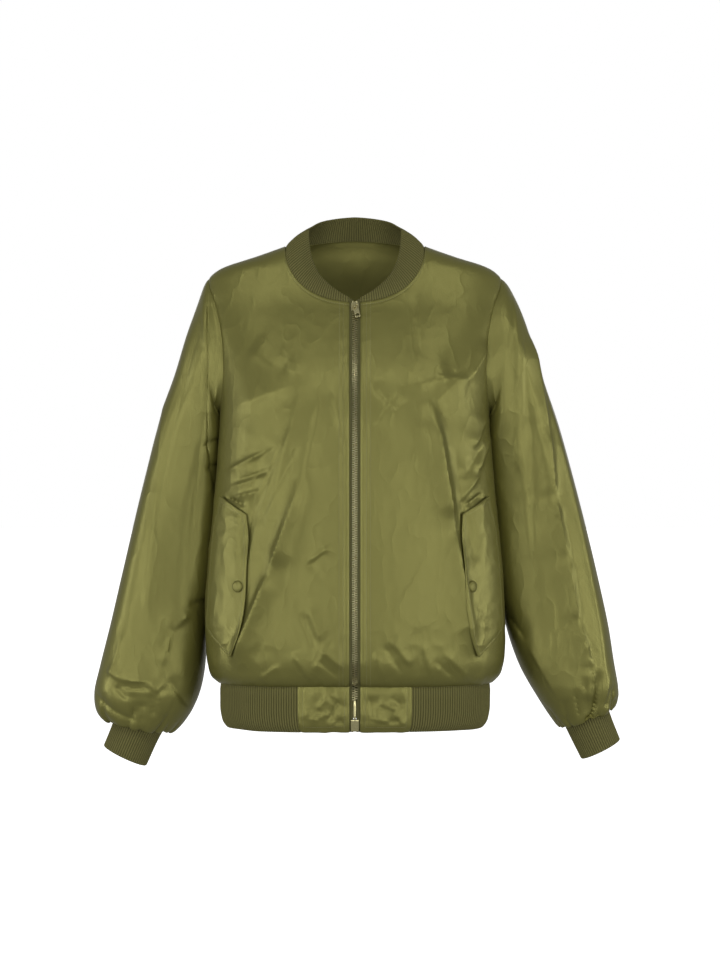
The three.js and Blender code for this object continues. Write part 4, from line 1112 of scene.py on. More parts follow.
def rib_relief(way, pitch):
    """0 on a rib's crest and -1 in the groove: -(1 - |cos(pi · way / pitch)|)^1.2."""
    return -((1 - np.abs(np.cos(np.pi * way / pitch))) ** 1.2)


print("points in a band's section:", len(band_section(12)[0]))


# %% [markdown]
# ## Collar
#
# The collar is a crescent: highest behind the neck, and narrowing to nothing much at the two ends of the
# zip. It stands on the neck seam and leans towards the neck by amounts that a table gives.

# %% Collar
COLLAR = table(
    "round inward high toward",
    (0, 0, 6, 3), (15, 1, 13, 6), (40, 8, 21, 12), (75, 22, 24, 17), (101, 29, 24, 18), (125, 30, 23, 9),
    (152, 29, 23, 0), (175, 26, 26, 2), (200, 17, 29, 4), (232, 7, 30, 6), (266, 0, 31, 6),
)
COLLAR_BULGE, BULGE_START = 2.5, 30


def neck_seam():
    """The neck seam from the left front end round the back to the right one: its points, the panels'
    normals there, and the way along it."""
    fine = np.linspace(0, NECK_COLUMN, 49)
    parts = []
    for side, order in ((-1, fine), (1, fine[::-1])):
        place = top_edge(column_part(order), side)
        p = body.point(place[:, 0], place[:, 1], side)
        parts.append(np.stack([p, body.normal(p, side)], 1))
    left = np.concatenate(parts)
    right = left[-2::-1] * np.array([-1, 1, 1])
    whole = np.concatenate([left, right])
    return whole[:, 0], whole[:, 1], way_along(whole[:, 0])


def along_line(way, at, values):
    """Values along a line, one column at a time, at the given ways."""
    return np.stack([np.interp(way, at, values[:, k]) for k in range(values.shape[1])], -1)


def collar_grid():
    """Rows along the seam, columns round the folded section."""
    seam, seam_normal, at = neck_seam()
    total = at[-1]
    ribs = round(total / RIB_PITCH)
    way = np.linspace(0, total, ribs * RIB_POINTS + 1)
    low = along_line(way, at, seam)
    curves = columns_through(COLLAR, "round")
    near = np.minimum(way, total - way) * (COLLAR["round"][-1] / (total / 2))
    lean = np.stack([
        -np.sign(np.round(low[:, 0])) * curves["inward"](near),
        np.where(low[:, 1] < 0, 1, -1) * curves["toward"](near),
        curves["high"](near),
    ], -1)
    ahead = along_line(np.minimum(way + 8, total), at, seam) - along_line(np.maximum(way - 8, 0), at, seam)
    own = unit(np.cross(ahead, lean))
    sewn = unit(along_line(way, at, seam_normal))
    tall = np.linalg.norm(lean, axis=-1)[:, None]
    share, reach, outward = band_section(13)
    level = share * (1 - RIB_FOLD / tall) + reach * RIB_FOLD / tall
    normal = unit(mix(sewn[:, None], own[:, None], soft(level / 0.5)[..., None]))
    bulge = COLLAR_BULGE * 4 * level * (1 - level) * soft(near / BULGE_START)[:, None]
    ribbed = RIB_DEEP * rib_relief(way, total / ribs)[:, None] * outward * soft(level * tall / 3)
    rise = bulge - RIB_FOLD * (1 - outward) + ribbed - 1.0 * np.exp(-level * tall / 1.1) * outward
    points = low[:, None] + lean[:, None] * level[..., None] + normal * rise[..., None]
    return points, way * (ribs * RIB_PITCH / total), level * tall


collar_points, collar_way, collar_high = collar_grid()
collar_flat = cloth_map(collar_way[:, None], collar_high)
collar = add_skin("collar", collar_points, collar_flat, KNIT, ["collar"], sharp=70)
print("collar quads", len(collar.data.polygons), "seam length", round(float(collar_way[-1])))

# %% [markdown]
# ## Waistband
#
# The waistband's rib runs from one woven tab round the back to the other. Its ribs stand upright and are
# evenly spaced along the band, so the way round is measured first and the columns are placed by it.

# %% Waistband
TAB_END, SEAM_LAP = 72, 3.0
BAND_LOW, BAND_TOP = float(BAND["z"][0]), float(BAND["z"][-1])


def band_place(share, z, side_sign=1.0):
    """A place on the band and its normal: share runs from 0 in the middle of the front to 1 at the back."""
    x = band.half(z) * np.sin(share * np.pi) ** (2 / SQUARE)
    side = np.where(share < 0.5, -1, 1)
    p = band.point(x, z, side)
    mirror = np.stack(np.broadcast_arrays(side_sign, 1.0, 1.0), -1)
    return p * mirror, band.normal(p, side) * mirror


def share_at(x):
    return math.asin((x / float(band.half(BAND_TOP))) ** (SQUARE / 2)) / math.pi


def even_shares(start, end, count):
    """Shares whose places lie evenly spaced along the band's sewn edge."""
    share = np.linspace(start, end, 1600)
    p, _ = band_place(np.minimum(share, 2 - share), np.full_like(share, BAND_TOP), np.where(share > 1, -1, 1))
    way = way_along(p)
    even = np.linspace(0, way[-1], count)
    return np.interp(even, way, share), even


def band_rows(steps):
    """Heights down the band's folded section, with the share of its height and the side for each."""
    share, reach, outward = band_section(steps)
    z = BAND_TOP - share * (BAND_TOP - BAND_LOW - RIB_FOLD) - reach * RIB_FOLD
    return np.clip(z, BAND_LOW, BAND_TOP)[None, :], share, outward


def waistband_grid():
    """Rows along the band, columns round its folded section. Its sewn edge goes up behind the shell."""
    start = share_at(TAB_END)
    _, way = even_shares(start, 2 - start, 2)
    ribs = round(way[-1] / RIB_PITCH)
    shares, way = even_shares(start, 2 - start, ribs * BAND_POINTS + 1)
    z, share, outward = band_rows(12)
    place = np.minimum(shares, 2 - shares)[:, None]
    mirrored = np.where(shares > 1, -1.0, 1.0)[:, None] + 0 * z
    p, normal = band_place(*np.broadcast_arrays(place, z), mirrored)
    down = BAND_TOP - z
    ribbed = RIB_DEEP * rib_relief(way, way[-1] / ribs)[:, None] * outward * soft(down / 2.5 + 0.2)
    ends = np.minimum(way, way[-1] - way)[:, None]
    rise = ribbed - RIB_FOLD * (1 - outward) - 1.2 * np.exp(-down / 1.1) * outward - 0.8 * np.exp(-ends / 1.0)
    rise = rise + 0.8 * noise(way[:, None] / 34, down / 60, 80)
    p[..., 2] += SEAM_LAP * np.exp(-down / 0.8)
    even_way = way * (ribs * RIB_PITCH / way[-1])
    return p + normal * rise[..., None], even_way, share * (BAND_TOP - BAND_LOW)


band_points, band_way, band_high = waistband_grid()
band_flat = cloth_map(band_way[:, None], band_high[None, :])
waistband = add_skin("waistband", band_points, band_flat, KNIT, ["waistband"], sharp=70)

# %% [markdown]
# ## Cuffs
#
# A cuff is the same band closed to a ring. It is narrower than the sleeve's end, which is why the sleeve is
# gathered into it.

# %% Cuffs


def cuff_grid(sections, hand):
    """Columns round the wrist, rows round the folded section."""
    along = 2 * np.pi * float(sections["depth"][-1])
    ribs = round(along / RIB_PITCH)
    turn = np.pi + TURN * np.arange(ribs * RIB_POINTS) / (ribs * RIB_POINTS)
    share, reach, outward = band_section(12)
    rows = through(np.arange(3), np.stack([sections[name] for name in SECTION.split()], -1))
    tall = [sections[name][-1] - sections[name][0] for name in ("outX", "outZ")]
    high = float(np.hypot(*tall))
    level = share * (1 - RIB_FOLD / high) + reach * RIB_FOLD / high
    at = dict(zip(SECTION.split(), rows(level * 2).T))
    groove = rib_relief(turn / TURN * ribs, 1.0)[None, :]
    down = (level * high)[:, None]
    ribbed = RIB_DEEP * groove * outward[:, None] * soft(down / 2.5 + 0.2)
    rise = ribbed - RIB_FOLD * (1 - outward[:, None]) - 1.0 * np.exp(-down / 1.1) * outward[:, None]
    points = ring_points(at, turn[None, :], rise)
    points[..., 0] *= hand
    flat_u = np.append(turn - np.pi, TURN) / TURN * ribs * RIB_PITCH
    return points, flat_u, level * high, along


for key, hand in HANDS.items():
    points, flat_u, flat_v, along = cuff_grid(CUFFS[key], hand)
    flat = cloth_map(flat_u[:, None], flat_v[None, :])
    points = points.swapaxes(0, 1)
    cuff = add_skin(f"cuff_{key}", points, flat, KNIT, [f"cuff_{key}"], ring=True, sharp=70)
    along * MM
    print(cuff.name, "quads", len(cuff.data.polygons))

# %% [markdown]
# ## Woven tabs
#
# At both front ends the waistband is a folded piece of the shell cloth, so that the zip has something firm
# to be sewn to. Its layers are not glued, and it puckers a little between its stitching.

# %% Tabs
TAB_STITCH, TAB_ROWS = 6.0, 22
TAB_PUCKERS = {
    1: [
        (30, -584, 52, -592, 4, 1.2), (20, -602, 44, -610, 4, 1.3), (44, -578, 62, -590, 4, -0.9),
        (18, -576, 24, -606, 5, -1.0), (50, -598, 62, -612, 4, 1.0), (30, -612, 58, -606, 3, -0.8),
    ],
    -1: [
        (-20, -580, -34, -606, 6, -1.2), (-34, -576, -48, -590, 4, 1.2), (-30, -596, -58, -604, 4, 1.1),
        (-16, -604, -30, -614, 4, -0.9), (-46, -606, -62, -592, 4, 1.0), (-24, -572, -40, -570, 4, 0.8),
    ],
}


def tab_grid(hand):
    """Rows along the band, columns round the folded section, as on the waistband but without ribs."""
    shares, way = even_shares(share_at(ZIP_EDGE), share_at(TAB_END), 44)
    z, share, outward = band_rows(TAB_ROWS)
    p, normal = band_place(*np.broadcast_arrays(shares[:, None], z))
    down = BAND_TOP - z
    ends = np.minimum(way, way[-1] - way)[:, None]
    lift = fold_height(hand * p[..., 0], p[..., 2], TAB_PUCKERS[hand], CREASE_CRISP, CREASE_STEEP)
    lift = 2.2 * lift + 1.1 * noise(way[:, None] / 11, z / 13, 90 + hand)
    lift = lift * soft(ends / 5) * soft(down / 4) * (outward > 0)
    sewn = np.minimum(ends, BAND_TOP - BAND_LOW - down)
    channel = 0.9 * bell(sewn, TAB_STITCH, 1.1) * soft((ends - TAB_STITCH) / 2 + 1)
    lift = lift - channel * (outward > 0)
    lift = lift - 1.0 * np.exp(-down / 1.1) * outward - 0.9 * np.exp(-ends / 1.0) - RIB_FOLD * (1 - outward)
    points = p + normal * lift[..., None]
    points[..., 2] += SEAM_LAP * np.exp(-down / 0.8)
    points[..., 0] *= hand
    return points, way, share * (BAND_TOP - BAND_LOW)


TABS = {}
for key, hand in HANDS.items():
    points, way, high = tab_grid(hand)
    TABS[key] = points
    flat = cloth_map(way[:, None], high[None, :])
    tab = add_skin(f"hem_tab_{key}", points, flat, SHELL, [f"hem_tab_{key}"], sharp=60)
    print(tab.name, "quads", len(tab.data.polygons))

# %% [markdown]
# ## Pocket flaps
#
# Each flap is two layers of cloth, sewn together and turned, so its edge is round. One row of stitches runs
# round it in a shallow channel, and its face is slightly full inside that row. It lies on the front's folds.

# %% Flaps
FLAP = table(
    "k sewnX sewnZ freeX freeZ",
    (0, 168, -323, 136, -346), (1, 177, -365, 134, -382), (2, 182, -412, 135, -432),
    (3, 185, -458, 137, -468), (3.9, 185.5, -491, 142, -499), (4.1, 183, -496, 143, -502),
    (5, 170, -511, 147.5, -514), (6, 155.5, -526, 153.5, -526),
)
FLAP_THICK = 2.0
FLAP_LIFT = {1: 2.0, -1: 2.7}
FLAP_ROUND, FLAP_STITCH = 1.2, 6.0


def on_front(x, z, rise, hand):
    """A place over a front and its normal, rise above the face, main folds included."""
    base = body.point(x, z, -1)
    normal = body.normal(base, -1)
    lift = fold_height(hand * x, z, FRONT_FOLDS, FOLD_CRISP, FOLD_STEEP) + rise
    mirror = np.array([hand, 1, 1])
    return (base + normal * lift[..., None]) * mirror, normal * mirror


def flap_grid(hand, seed):
    """The outer and inner grid of a flap: rows from its top end to its tip, columns from sewn to free."""
    curves = columns_through(FLAP, "k")
    k = graded(0, 6, 84, (0.01, 0.025))[:, None]
    t = graded(0, 1, 24, (0.006, 0.016))[None, :]
    x = mix(curves["sewnX"](k), curves["freeX"](k), t)
    z = mix(curves["sewnZ"](k), curves["freeZ"](k), t)
    flat, _ = on_front(x, z, 0 * x, hand)
    off = np.min([run(flat, axis, back) for axis in (0, 1) for back in (False, True)], axis=0)
    edge = np.sqrt(np.clip(1 - (1 - np.minimum(off, FLAP_ROUND) / FLAP_ROUND) ** 2, 0, 1))
    full = 0.35 * soft((off - 7) / 10) - 0.45 * bell(off, FLAP_STITCH, 0.9)
    full = full + 1.0 * crumple(x / 14, z / 20, seed) * soft(off / 5)
    full = full + 0.45 * noise(x / 7, z / 8, seed + 3) * soft(off / 3)
    top = FLAP_LIFT[hand] + FLAP_THICK * (0.5 + 0.5 * edge) + full
    low = FLAP_LIFT[hand] + FLAP_THICK * (0.5 - 0.5 * edge)
    outer, normal = on_front(x, z, top, hand)
    inner, _ = on_front(x, z, low, hand)
    return outer, inner, normal


FLAPS = {}
for key, hand, seed in (("left", 1, 110), ("right", -1, 120)):
    outer, inner, normal = flap_grid(hand, seed)
    FLAPS[key] = (outer, normal)
    flat = cloth_map(run(outer, 1), run(outer, 0))
    name = f"pocket_flap_{key}"
    points, flat = two_sided(outer, inner), two_sided(flat, flat)
    flap = add_skin(name, points, flat, SHELL, [name], sharp=60)

# %% [markdown]
# ## Snaps
#
# The two pocket snaps have caps covered with the shell cloth: a low dome, a shallow ring where the cloth
# goes round the cap's edge, and faint wrinkles drawn towards that edge.

# %% Snaps
SNAP_X, SNAP_Z, SNAP_RADIUS, SNAP_HIGH, SNAP_SEAT = 145, -437, 7.5, 3.0, 0.4
SNAP_TURNS, SNAP_WRINKLES = 48, 12
LAYER = 0.3
# how far along the profile, its radius and its height, as shares of the cap's
SNAP_PROFILE = table(
    "along radius high",
    (0, 0.02, 1.06), (0.3, 0.3, 1.03), (0.6, 0.6, 0.92), (0.85, 0.85, 0.70), (0.97, 0.97, 0.42),
    (1.0, 1.0, 0.2), (1.04, 0.98, 0.05), (1.05, 0.9, 0),
)


def snap_grid():
    """A dome in its own frame: height from the radius along a table, with wrinkles near the rim."""
    along = np.linspace(0, SNAP_PROFILE["along"][-1], 22)
    wide, tall = (curve(along)[:, None] for curve in columns_through(SNAP_PROFILE, "along").values())
    turn = TURN * np.arange(SNAP_TURNS) / SNAP_TURNS
    wrinkle = 0.03 * np.cos(turn * SNAP_WRINKLES)[None, :] * soft((wide - 0.6) / 0.3)
    radius = SNAP_RADIUS * wide * (1 + 0 * turn)
    return radius * np.cos(turn), radius * np.sin(turn), SNAP_HIGH * (tall + wrinkle * (tall > 0.1))


def outward_faces(points, faces):
    """Faces of a shape round its own origin, each turned so that it looks away from it."""
    turned = []
    for face in faces:
        corner = points[face]
        looks = np.cross(corner[1] - corner[0], corner[2] - corner[1]) @ corner.mean(axis=0)
        turned.append(face if looks > 0 else face[::-1])
    return turned


cap_x, cap_z, cap_high = (grid[..., None] for grid in np.broadcast_arrays(*snap_grid()))
for key, hand in HANDS.items():
    ask = np.array([[0, 0], [1, 0], [-1, 0], [0, 1], [0, -1]]) * SNAP_RADIUS
    rise = np.full(len(ask), FLAP_LIFT[hand] + FLAP_THICK)
    p, _ = on_front(SNAP_X + ask[:, 0], SNAP_Z + ask[:, 1], rise, hand)
    right = unit((p[1] - p[2]) * hand)
    out = unit(np.cross(right, p[3] - p[4]))
    up = np.cross(out, right)
    points = p[0] + out * SNAP_SEAT + cap_x * right + cap_z * up + cap_high * out
    number = np.arange(points.size // 3).reshape(points.shape[:2])
    points = points.reshape(-1, 3)
    low, high = number[:-1], number[1:]
    quads = np.stack([low, np.roll(low, -1, 1), np.roll(high, -1, 1), high], -1).reshape(-1, 4)
    own = cloth_map(cap_x[..., 0], cap_z[..., 0]).reshape(-1, 2)
    quads, places = facing_out(points, quads, own[quads])
    caps = outward_faces(points - points.mean(axis=0), [number[0].tolist(), number[-1].tolist()])
    places = np.concatenate([places.reshape(-1, 2), *(own[cap] for cap in caps)])
    faces = quads.tolist() + caps
    add_piece(f"snap_{key}", points, faces, SHELL, [f"snap_{key}"], places, sharp=60)
print("snap caps 15 mm wide")

# %% [markdown]
# ## The zip's line
#
# The zip lies behind the folded edges of the fronts. Its middle follows the curve of the front, set in by the
# cloth's thickness, and every tooth turns with that curve.

# %% Zip line
CLOTH = 1.6
TAPE_THICK, TAPE_IN, TAPE_OUT, TAPE_PIN = 1.0, 3.8, 14.0, 1.9
CHAIN_TOP, CHAIN_LOW = -87, -580
BOX_TOP, BOX_HALF, BOX_ABOVE = -605, 5.0, 1.0
ZIP_SET = CLOTH + LAYER + TAPE_THICK / 2
NECK_FRONT_Z = float(top_edge(np.array(0.0), -1)[1])


def zip_depth(z):
    """y of the front's edge at given heights, and how far it has blended into the tab's under the hem."""
    edge = np.full_like(z, ZIP_EDGE)
    on_body = body.point(edge, np.clip(z, HEM_Z, NECK_FRONT_Z), -1)
    on_tab = band.point(edge, np.clip(z, BAND_LOW, BAND_TOP), -1)
    low = soft((BAND_TOP + 6 - z) / 12)
    return mix(on_body[..., 1], on_tab[..., 1], low), low


z_sorted = np.linspace(BAND_LOW, NECK_FRONT_Z, 500)
y_sorted, _ = zip_depth(z_sorted)


def zip_frame(z):
    """The zip's middle line and its outward direction at given heights, from the slope of the edge over a
    millimetre up and down."""
    y, low = zip_depth(z)
    depth_in = mix(ZIP_SET, RIB_THICK + LAYER + TAPE_THICK / 2, low)
    slope = (np.interp(z + 1.0, z_sorted, y_sorted) - np.interp(z - 1.0, z_sorted, y_sorted)) / 2.0
    out = unit(np.stack([0 * z, -np.ones_like(z), slope], -1))
    return np.stack([0 * z, y, z], -1) + out * -depth_in[..., None], out


print("zip length in mm:", round(float(np.hypot(np.diff(y_sorted), np.diff(z_sorted)).sum())))

# %% [markdown]
# ## Tapes
#
# Each tape is a narrow woven band with a thicker cord along its inner edge, on which the teeth are clamped.

# %% Tapes
TAPE_TOP = NECK_FRONT_Z + 3.0
# across the tape from its inner edge, as a share of its width, and half its thickness there
TAPE_SECTION = table(
    "across half",
    (0, 0.5), (0.03, 0.95), (0.08, 1.15), (0.14, 0.95), (0.2, 0.5), (0.5, 0.45), (1.0, 0.4),
)


def tape_grid(hand):
    """Rows down the tape, columns round its thin section: a cord at the inner edge, then flat."""
    z = np.linspace(TAPE_TOP, BAND_LOW, 200)
    middle, out = zip_frame(z)
    inner_x = mix(TAPE_IN - 0.6, TAPE_PIN, soft((CHAIN_LOW - z) / 4))
    x = inner_x[:, None] + (TAPE_OUT - inner_x[:, None]) * TAPE_SECTION["across"]
    thick = out[:, None] * TAPE_SECTION["half"][None, :, None]
    front, back = middle[:, None] + thick, middle[:, None] - thick
    for grid in (front, back):
        grid[..., 0] = hand * x
    return front, back


for key, hand in HANDS.items():
    front, back = tape_grid(hand)
    flat = cloth_map(np.abs(front[..., 0]), front[..., 2])
    points, flat = two_sided(front, back), two_sided(flat, flat)
    tape = add_skin(f"zip_tape_{key}", points, flat, TAPE, [f"zip_tape_{key}"])
print("tapes made")

# %% [markdown]
# ## Teeth
#
# Every tooth is the same small rounded block. The teeth of the two sides alternate, half a pitch apart. All
# of them are one mesh: a template of a few points is repeated at each tooth's frame, as one array.

# %% Teeth
TOOTH_PITCH = 2.9
TOOTH_LONG, TOOTH_HIGH, TOOTH_THICK = 2.25, 0.62, 1.35
TOOTH_SHIFT = 1.35
TOOTH_HEAD, TOOTH_FOOT = 1.15, 0.8  # its height at the free end and on the tape, as shares


def pebble(rings=4, sides=8, square=0.55):
    """A closed rounded box from -1 to 1: a ball whose sines and cosines are raised to the power square,
    with their signs kept. Its long way is x."""
    power = lambda v: np.sign(v) * np.abs(v) ** square
    tip = np.pi * np.arange(1, rings) / rings
    round_x = TURN * np.arange(sides) / sides + np.pi / sides
    x = power(np.cos(tip))[:, None] + 0 * round_x
    y = power(np.sin(tip))[:, None] * power(np.cos(round_x))
    z = power(np.sin(tip))[:, None] * power(np.sin(round_x))
    points = np.concatenate([np.stack([x, y, z], -1).reshape(-1, 3), [[1, 0, 0], [-1, 0, 0]]])
    number = np.arange((rings - 1) * sides).reshape(rings - 1, sides)
    low, high = number[:-1], number[1:]
    quads = np.stack([low, high, np.roll(high, -1, 1), np.roll(low, -1, 1)], -1).reshape(-1, 4)
    near, far = len(points) - 2, len(points) - 1
    first, last = number[0], number[-1]
    caps = [[near, a, b] for a, b in zip(first, np.roll(first, -1))]
    caps += [[far, b, a] for a, b in zip(last, np.roll(last, -1))]
    return points, quads.tolist() + caps


def scatter(points, faces, places, frames):
    """Copies of a template at each place, its three axes being the rows of each frame."""
    every = places[:, None] + np.einsum("nk,mkj->mnj", points, frames)
    count = len(points)
    copies = []
    for size in sorted({len(f) for f in faces}):
        part = np.array([f for f in faces if len(f) == size])
        copies += (part[None] + count * np.arange(len(places))[:, None, None]).reshape(-1, size).tolist()
    return every.reshape(-1, 3), copies


def zip_axes(out, hand):
    """Frames whose axes are across the zip, out of it and along it."""
    across = np.broadcast_to(np.array([hand, 0.0, 0.0]), out.shape)
    along = np.cross(out, across)
    return np.stack([across, out, along], 1)


tooth_points, tooth_faces = pebble()
tooth_points = tooth_points * (TOOTH_LONG, TOOTH_THICK, TOOTH_HIGH)
tooth_points[:, 2] *= np.where(tooth_points[:, 0] > 0, TOOTH_HEAD, TOOTH_FOOT)
tooth_faces = outward_faces(tooth_points, tooth_faces)
teeth_points, teeth_faces = [], []
for hand, start in ((1, 0.0), (-1, 0.5)):
    z = np.arange(CHAIN_TOP - 0.8 - start * TOOTH_PITCH, CHAIN_LOW + 0.6, -TOOTH_PITCH)
    middle, out = zip_frame(z)
    middle[:, 0] = hand * TOOTH_SHIFT
    points, faces = scatter(tooth_points, tooth_faces, middle, zip_axes(out, hand))
    teeth_faces += [[i + sum(map(len, teeth_points)) for i in f] for f in faces]
    teeth_points.append(points)
add_piece("zip_teeth", np.concatenate(teeth_points), teeth_faces, BRASS, ["zip_chain"], sharp=50)
print("teeth:", len(teeth_faces) // len(tooth_faces))

# %% [markdown]
# ## Flat brass parts
#
# A slider is cast and a pull tab is stamped from sheet, but both are flat parts with rounded edges. Such a
# part is a curve here: an outline with its holes, given a thickness and a rounded edge.

# %% Flat parts


def stamped(outlines, thick, bevel):
    """Points and faces of a flat part: outlines in x and z, the first solid and the others holes, thick in
    y about 0, with its edges rounded. A filled Blender curve does the rounding."""
    curve = bpy.data.curves.new("stamped", "CURVE")
    curve.dimensions = "2D"
    curve.fill_mode = "BOTH"
    curve.extrude = thick / 2 - bevel
    curve.bevel_depth = bevel
    curve.bevel_resolution = 2
    curve.offset = -bevel
    for outline in outlines:
        spline = curve.splines.new("POLY")
        spline.points.add(len(outline) - 1)
        flat = np.zeros((len(outline), 4))
        flat[:, :2] = outline
        flat[:, 3] = 1
        spline.points.foreach_set("co", flat.ravel())
        spline.use_cyclic_u = True
    holder = bpy.data.objects.new("stamped", curve)
    made = bpy.data.meshes.new_from_object(holder)
    points = np.zeros(len(made.vertices) * 3)
    made.vertices.foreach_get("co", points)
    points = points.reshape(-1, 3)[:, [0, 2, 1]] * (1, -1, 1)
    faces = [list(p.vertices) for p in made.polygons]
    bpy.data.objects.remove(holder)
    bpy.data.curves.remove(curve)
    bpy.data.meshes.remove(made)
    return points, faces


def rounded_corners(corners, radius, steps=4):
    """An outline with each corner replaced by an arc: points of a quadratic curve from one side to the
    other, radius away from the corner."""
    corners = np.array(corners, float)
    before = unit(np.roll(corners, 1, 0) - corners)
    after = unit(np.roll(corners, -1, 0) - corners)
    t = np.linspace(0, 1, steps + 1)[None, :, None]
    a, b, c = (corners + before * radius)[:, None], corners[:, None], (corners + after * radius)[:, None]
    return ((1 - t) ** 2 * a + 2 * t * (1 - t) * b + t * t * c).reshape(-1, 2)


def box_outline(x1, x2, z1, z2):
    """The four corners of a rectangle."""
    return [(x1, z1), (x2, z1), (x2, z2), (x1, z2)]


def merged(parts):
    """Several point and face lists as one."""
    points, faces = [], []
    for more, their in parts:
        start = sum(map(len, points))
        faces += [[i + start for i in f] for f in their]
        points.append(more)
    return np.concatenate(points), faces


# %% [markdown]
# ## Slider
#
# The slider is two plates joined by a post at its top, with a strap over the front plate. It is placed from
# the pull tab's joint, so that the tab turns about its own bar and stays clear of the plates.

# %% Slider
SLIDER_HALF, SLIDER_NARROW, SLIDER_TOP, SLIDER_REACH, SLIDER_WAIST = 5.2, 4.2, 4.16, 6.5, 1.3
PLATE_THICK, PLATE_GAP, CHAIN_THICK = 1.4, 0.4, 2.6
STRAP_HALF, STRAP_TOP, STRAP_LOW, STRAP_CLEAR, STRAP_THICK = 0.8, 5.0, -3.4, 2.6, 1.2
POST_HALF, POST_HIGH, POST_SET = 2.6, 4.5, 0.4
BRASS_EDGE = 0.3  # the radius of a stamped edge

inside = CHAIN_THICK / 2 + PLATE_GAP
face_out = inside + PLATE_THICK
PULL_THICK, PULL_Z, PULL_GAP = 1.2, 2.2, 0.5
pull_place = np.array([0, -(face_out + PULL_GAP + PULL_THICK / 2), PULL_Z])
hinge = frame["joints"][0]
lean = unit(-np.array(hinge["axis"]) * (0, 1, 1))
SLIDER_AXES = np.stack([np.array([1.0, 0, 0]), np.cross(lean, np.array([1.0, 0, 0])), lean])
slider_place = np.array(hinge["pos_m"]) / MM - pull_place @ SLIDER_AXES
zip_middle, _ = zip_frame(slider_place[2:])
print("slider from the zip's middle line in mm:", np.round(slider_place - zip_middle[0], 2))


def in_slider(points):
    """From the slider's frame (x across, -y out of the zip, z up along it) to the jacket's, in mm."""
    return slider_place + points @ SLIDER_AXES


plate_outline = rounded_corners(
    [(-SLIDER_NARROW, -SLIDER_REACH), (SLIDER_NARROW, -SLIDER_REACH), (SLIDER_HALF, SLIDER_WAIST),
     (SLIDER_TOP, SLIDER_REACH), (-SLIDER_TOP, SLIDER_REACH), (-SLIDER_HALF, SLIDER_WAIST)], 1.2)
slider_parts = []
for y in (-(inside + PLATE_THICK / 2), inside + PLATE_THICK / 2):
    points, faces = stamped([plate_outline], PLATE_THICK, BRASS_EDGE)
    slider_parts.append((points + (0, y, 0), faces))
post_outline = box_outline(-POST_HALF, POST_HALF, SLIDER_REACH - POST_HIGH, SLIDER_REACH - POST_SET)
slider_parts.append(stamped([post_outline], 2 * inside + 0.4, 0.1))
strap_side = box_outline(-0.3, STRAP_CLEAR + STRAP_THICK, STRAP_LOW, STRAP_TOP)
strap_hole = box_outline(-0.1, STRAP_CLEAR, STRAP_LOW + STRAP_THICK, STRAP_TOP - STRAP_THICK)
strap_outlines = [rounded_corners(strap_side, 0.9), rounded_corners(strap_hole, 0.6)]
points, faces = stamped(strap_outlines, 2 * STRAP_HALF, 0.25)
strap_points = np.stack([points[:, 1], -(points[:, 0] + face_out), points[:, 2]], -1)
slider_parts.append((strap_points, [f[::-1] for f in faces]))
points, faces = merged(slider_parts)
add_piece("zip_slider", in_slider(points), faces, BRASS, ["zip_slider"], sharp=35)
print("slider at z", round(float(slider_place[2]), 1))

# %% [markdown]
# ## Pull tab
#
# The tab's bar goes through the strap, and the tab hangs from it a little askew. Its long eye lets it swing
# up past the strap.

# %% Pull tab
PULL_BAR, PULL_HALF, PULL_LOW, PULL_CORNER, PULL_LONG, PULL_TILT = 1.4, 3.9, 3.4, 1.0, 21.0, 11
EYE_HALF, EYE_HIGH = 2.5, 7.0
HOLE_HALF, HOLE_HIGH, HOLE_END = 2.1, 3.7, 1.8
end = PULL_BAR / 2 - PULL_LONG
pull_outline = rounded_corners(
    [(-PULL_HALF, PULL_BAR / 2), (-PULL_LOW, end), (PULL_LOW, end), (PULL_HALF, PULL_BAR / 2)], PULL_CORNER)
eye = box_outline(-EYE_HALF, EYE_HALF, -PULL_BAR / 2 - EYE_HIGH, -PULL_BAR / 2)
hole = box_outline(-HOLE_HALF, HOLE_HALF, end + HOLE_END, end + HOLE_END + HOLE_HIGH)
holes = [rounded_corners(outline, 0.4) for outline in (eye, hole)]
points, faces = stamped([pull_outline, *holes], PULL_THICK, BRASS_EDGE)
tilt = math.radians(PULL_TILT)
turned = np.stack([
    points[:, 0] * math.cos(tilt) - points[:, 2] * math.sin(tilt),
    points[:, 1],
    points[:, 0] * math.sin(tilt) + points[:, 2] * math.cos(tilt),
], -1)
points = in_slider(turned + pull_place)
add_piece("zip_pull", points, faces, BRASS, ["zip_pull"], rides="pull_tab", sharp=35)
print("pull tab hinge:", hinge["pos_m"])

# %% [markdown]
# ## Ends of the zip
#
# Two small stops above the slider keep it on the chain. At the hem, the pin of one side stands in the box of
# the other, and that is what lets the zip come apart.

# %% Stops, pin and box


def along_zip(top, low, x1, x2, thick, power):
    """A rounded bar of the zip between two heights and two x values."""
    middle, out = zip_frame(np.array([(top + low) / 2]))
    middle[:, 0] = (x1 + x2) / 2
    points, faces = pebble(6, 12, power)
    points = points * ((x2 - x1) / 2, thick / 2, (top - low) / 2)
    return scatter(points, outward_faces(points, faces), middle, zip_axes(out, 1.0))


for name, size in {
    "zip_stop_left": (-74.5, -77, 1.2, 3.5, 2.6),
    "zip_stop_right": (-74.5, -77, -3.5, -1.2, 2.6),
    "zip_pin": (-580.3, -604.7, -1.6, 1.6, 2.0),
    "zip_box": (BOX_TOP, BAND_LOW + BOX_ABOVE, -BOX_HALF, BOX_HALF, 3.4),
}.items():
    points, faces = along_zip(*size, power=0.22 if name == "zip_box" else 0.4)
    add_piece(name, points, faces, BRASS, [name], sharp=50)
print("ends of the zip made")

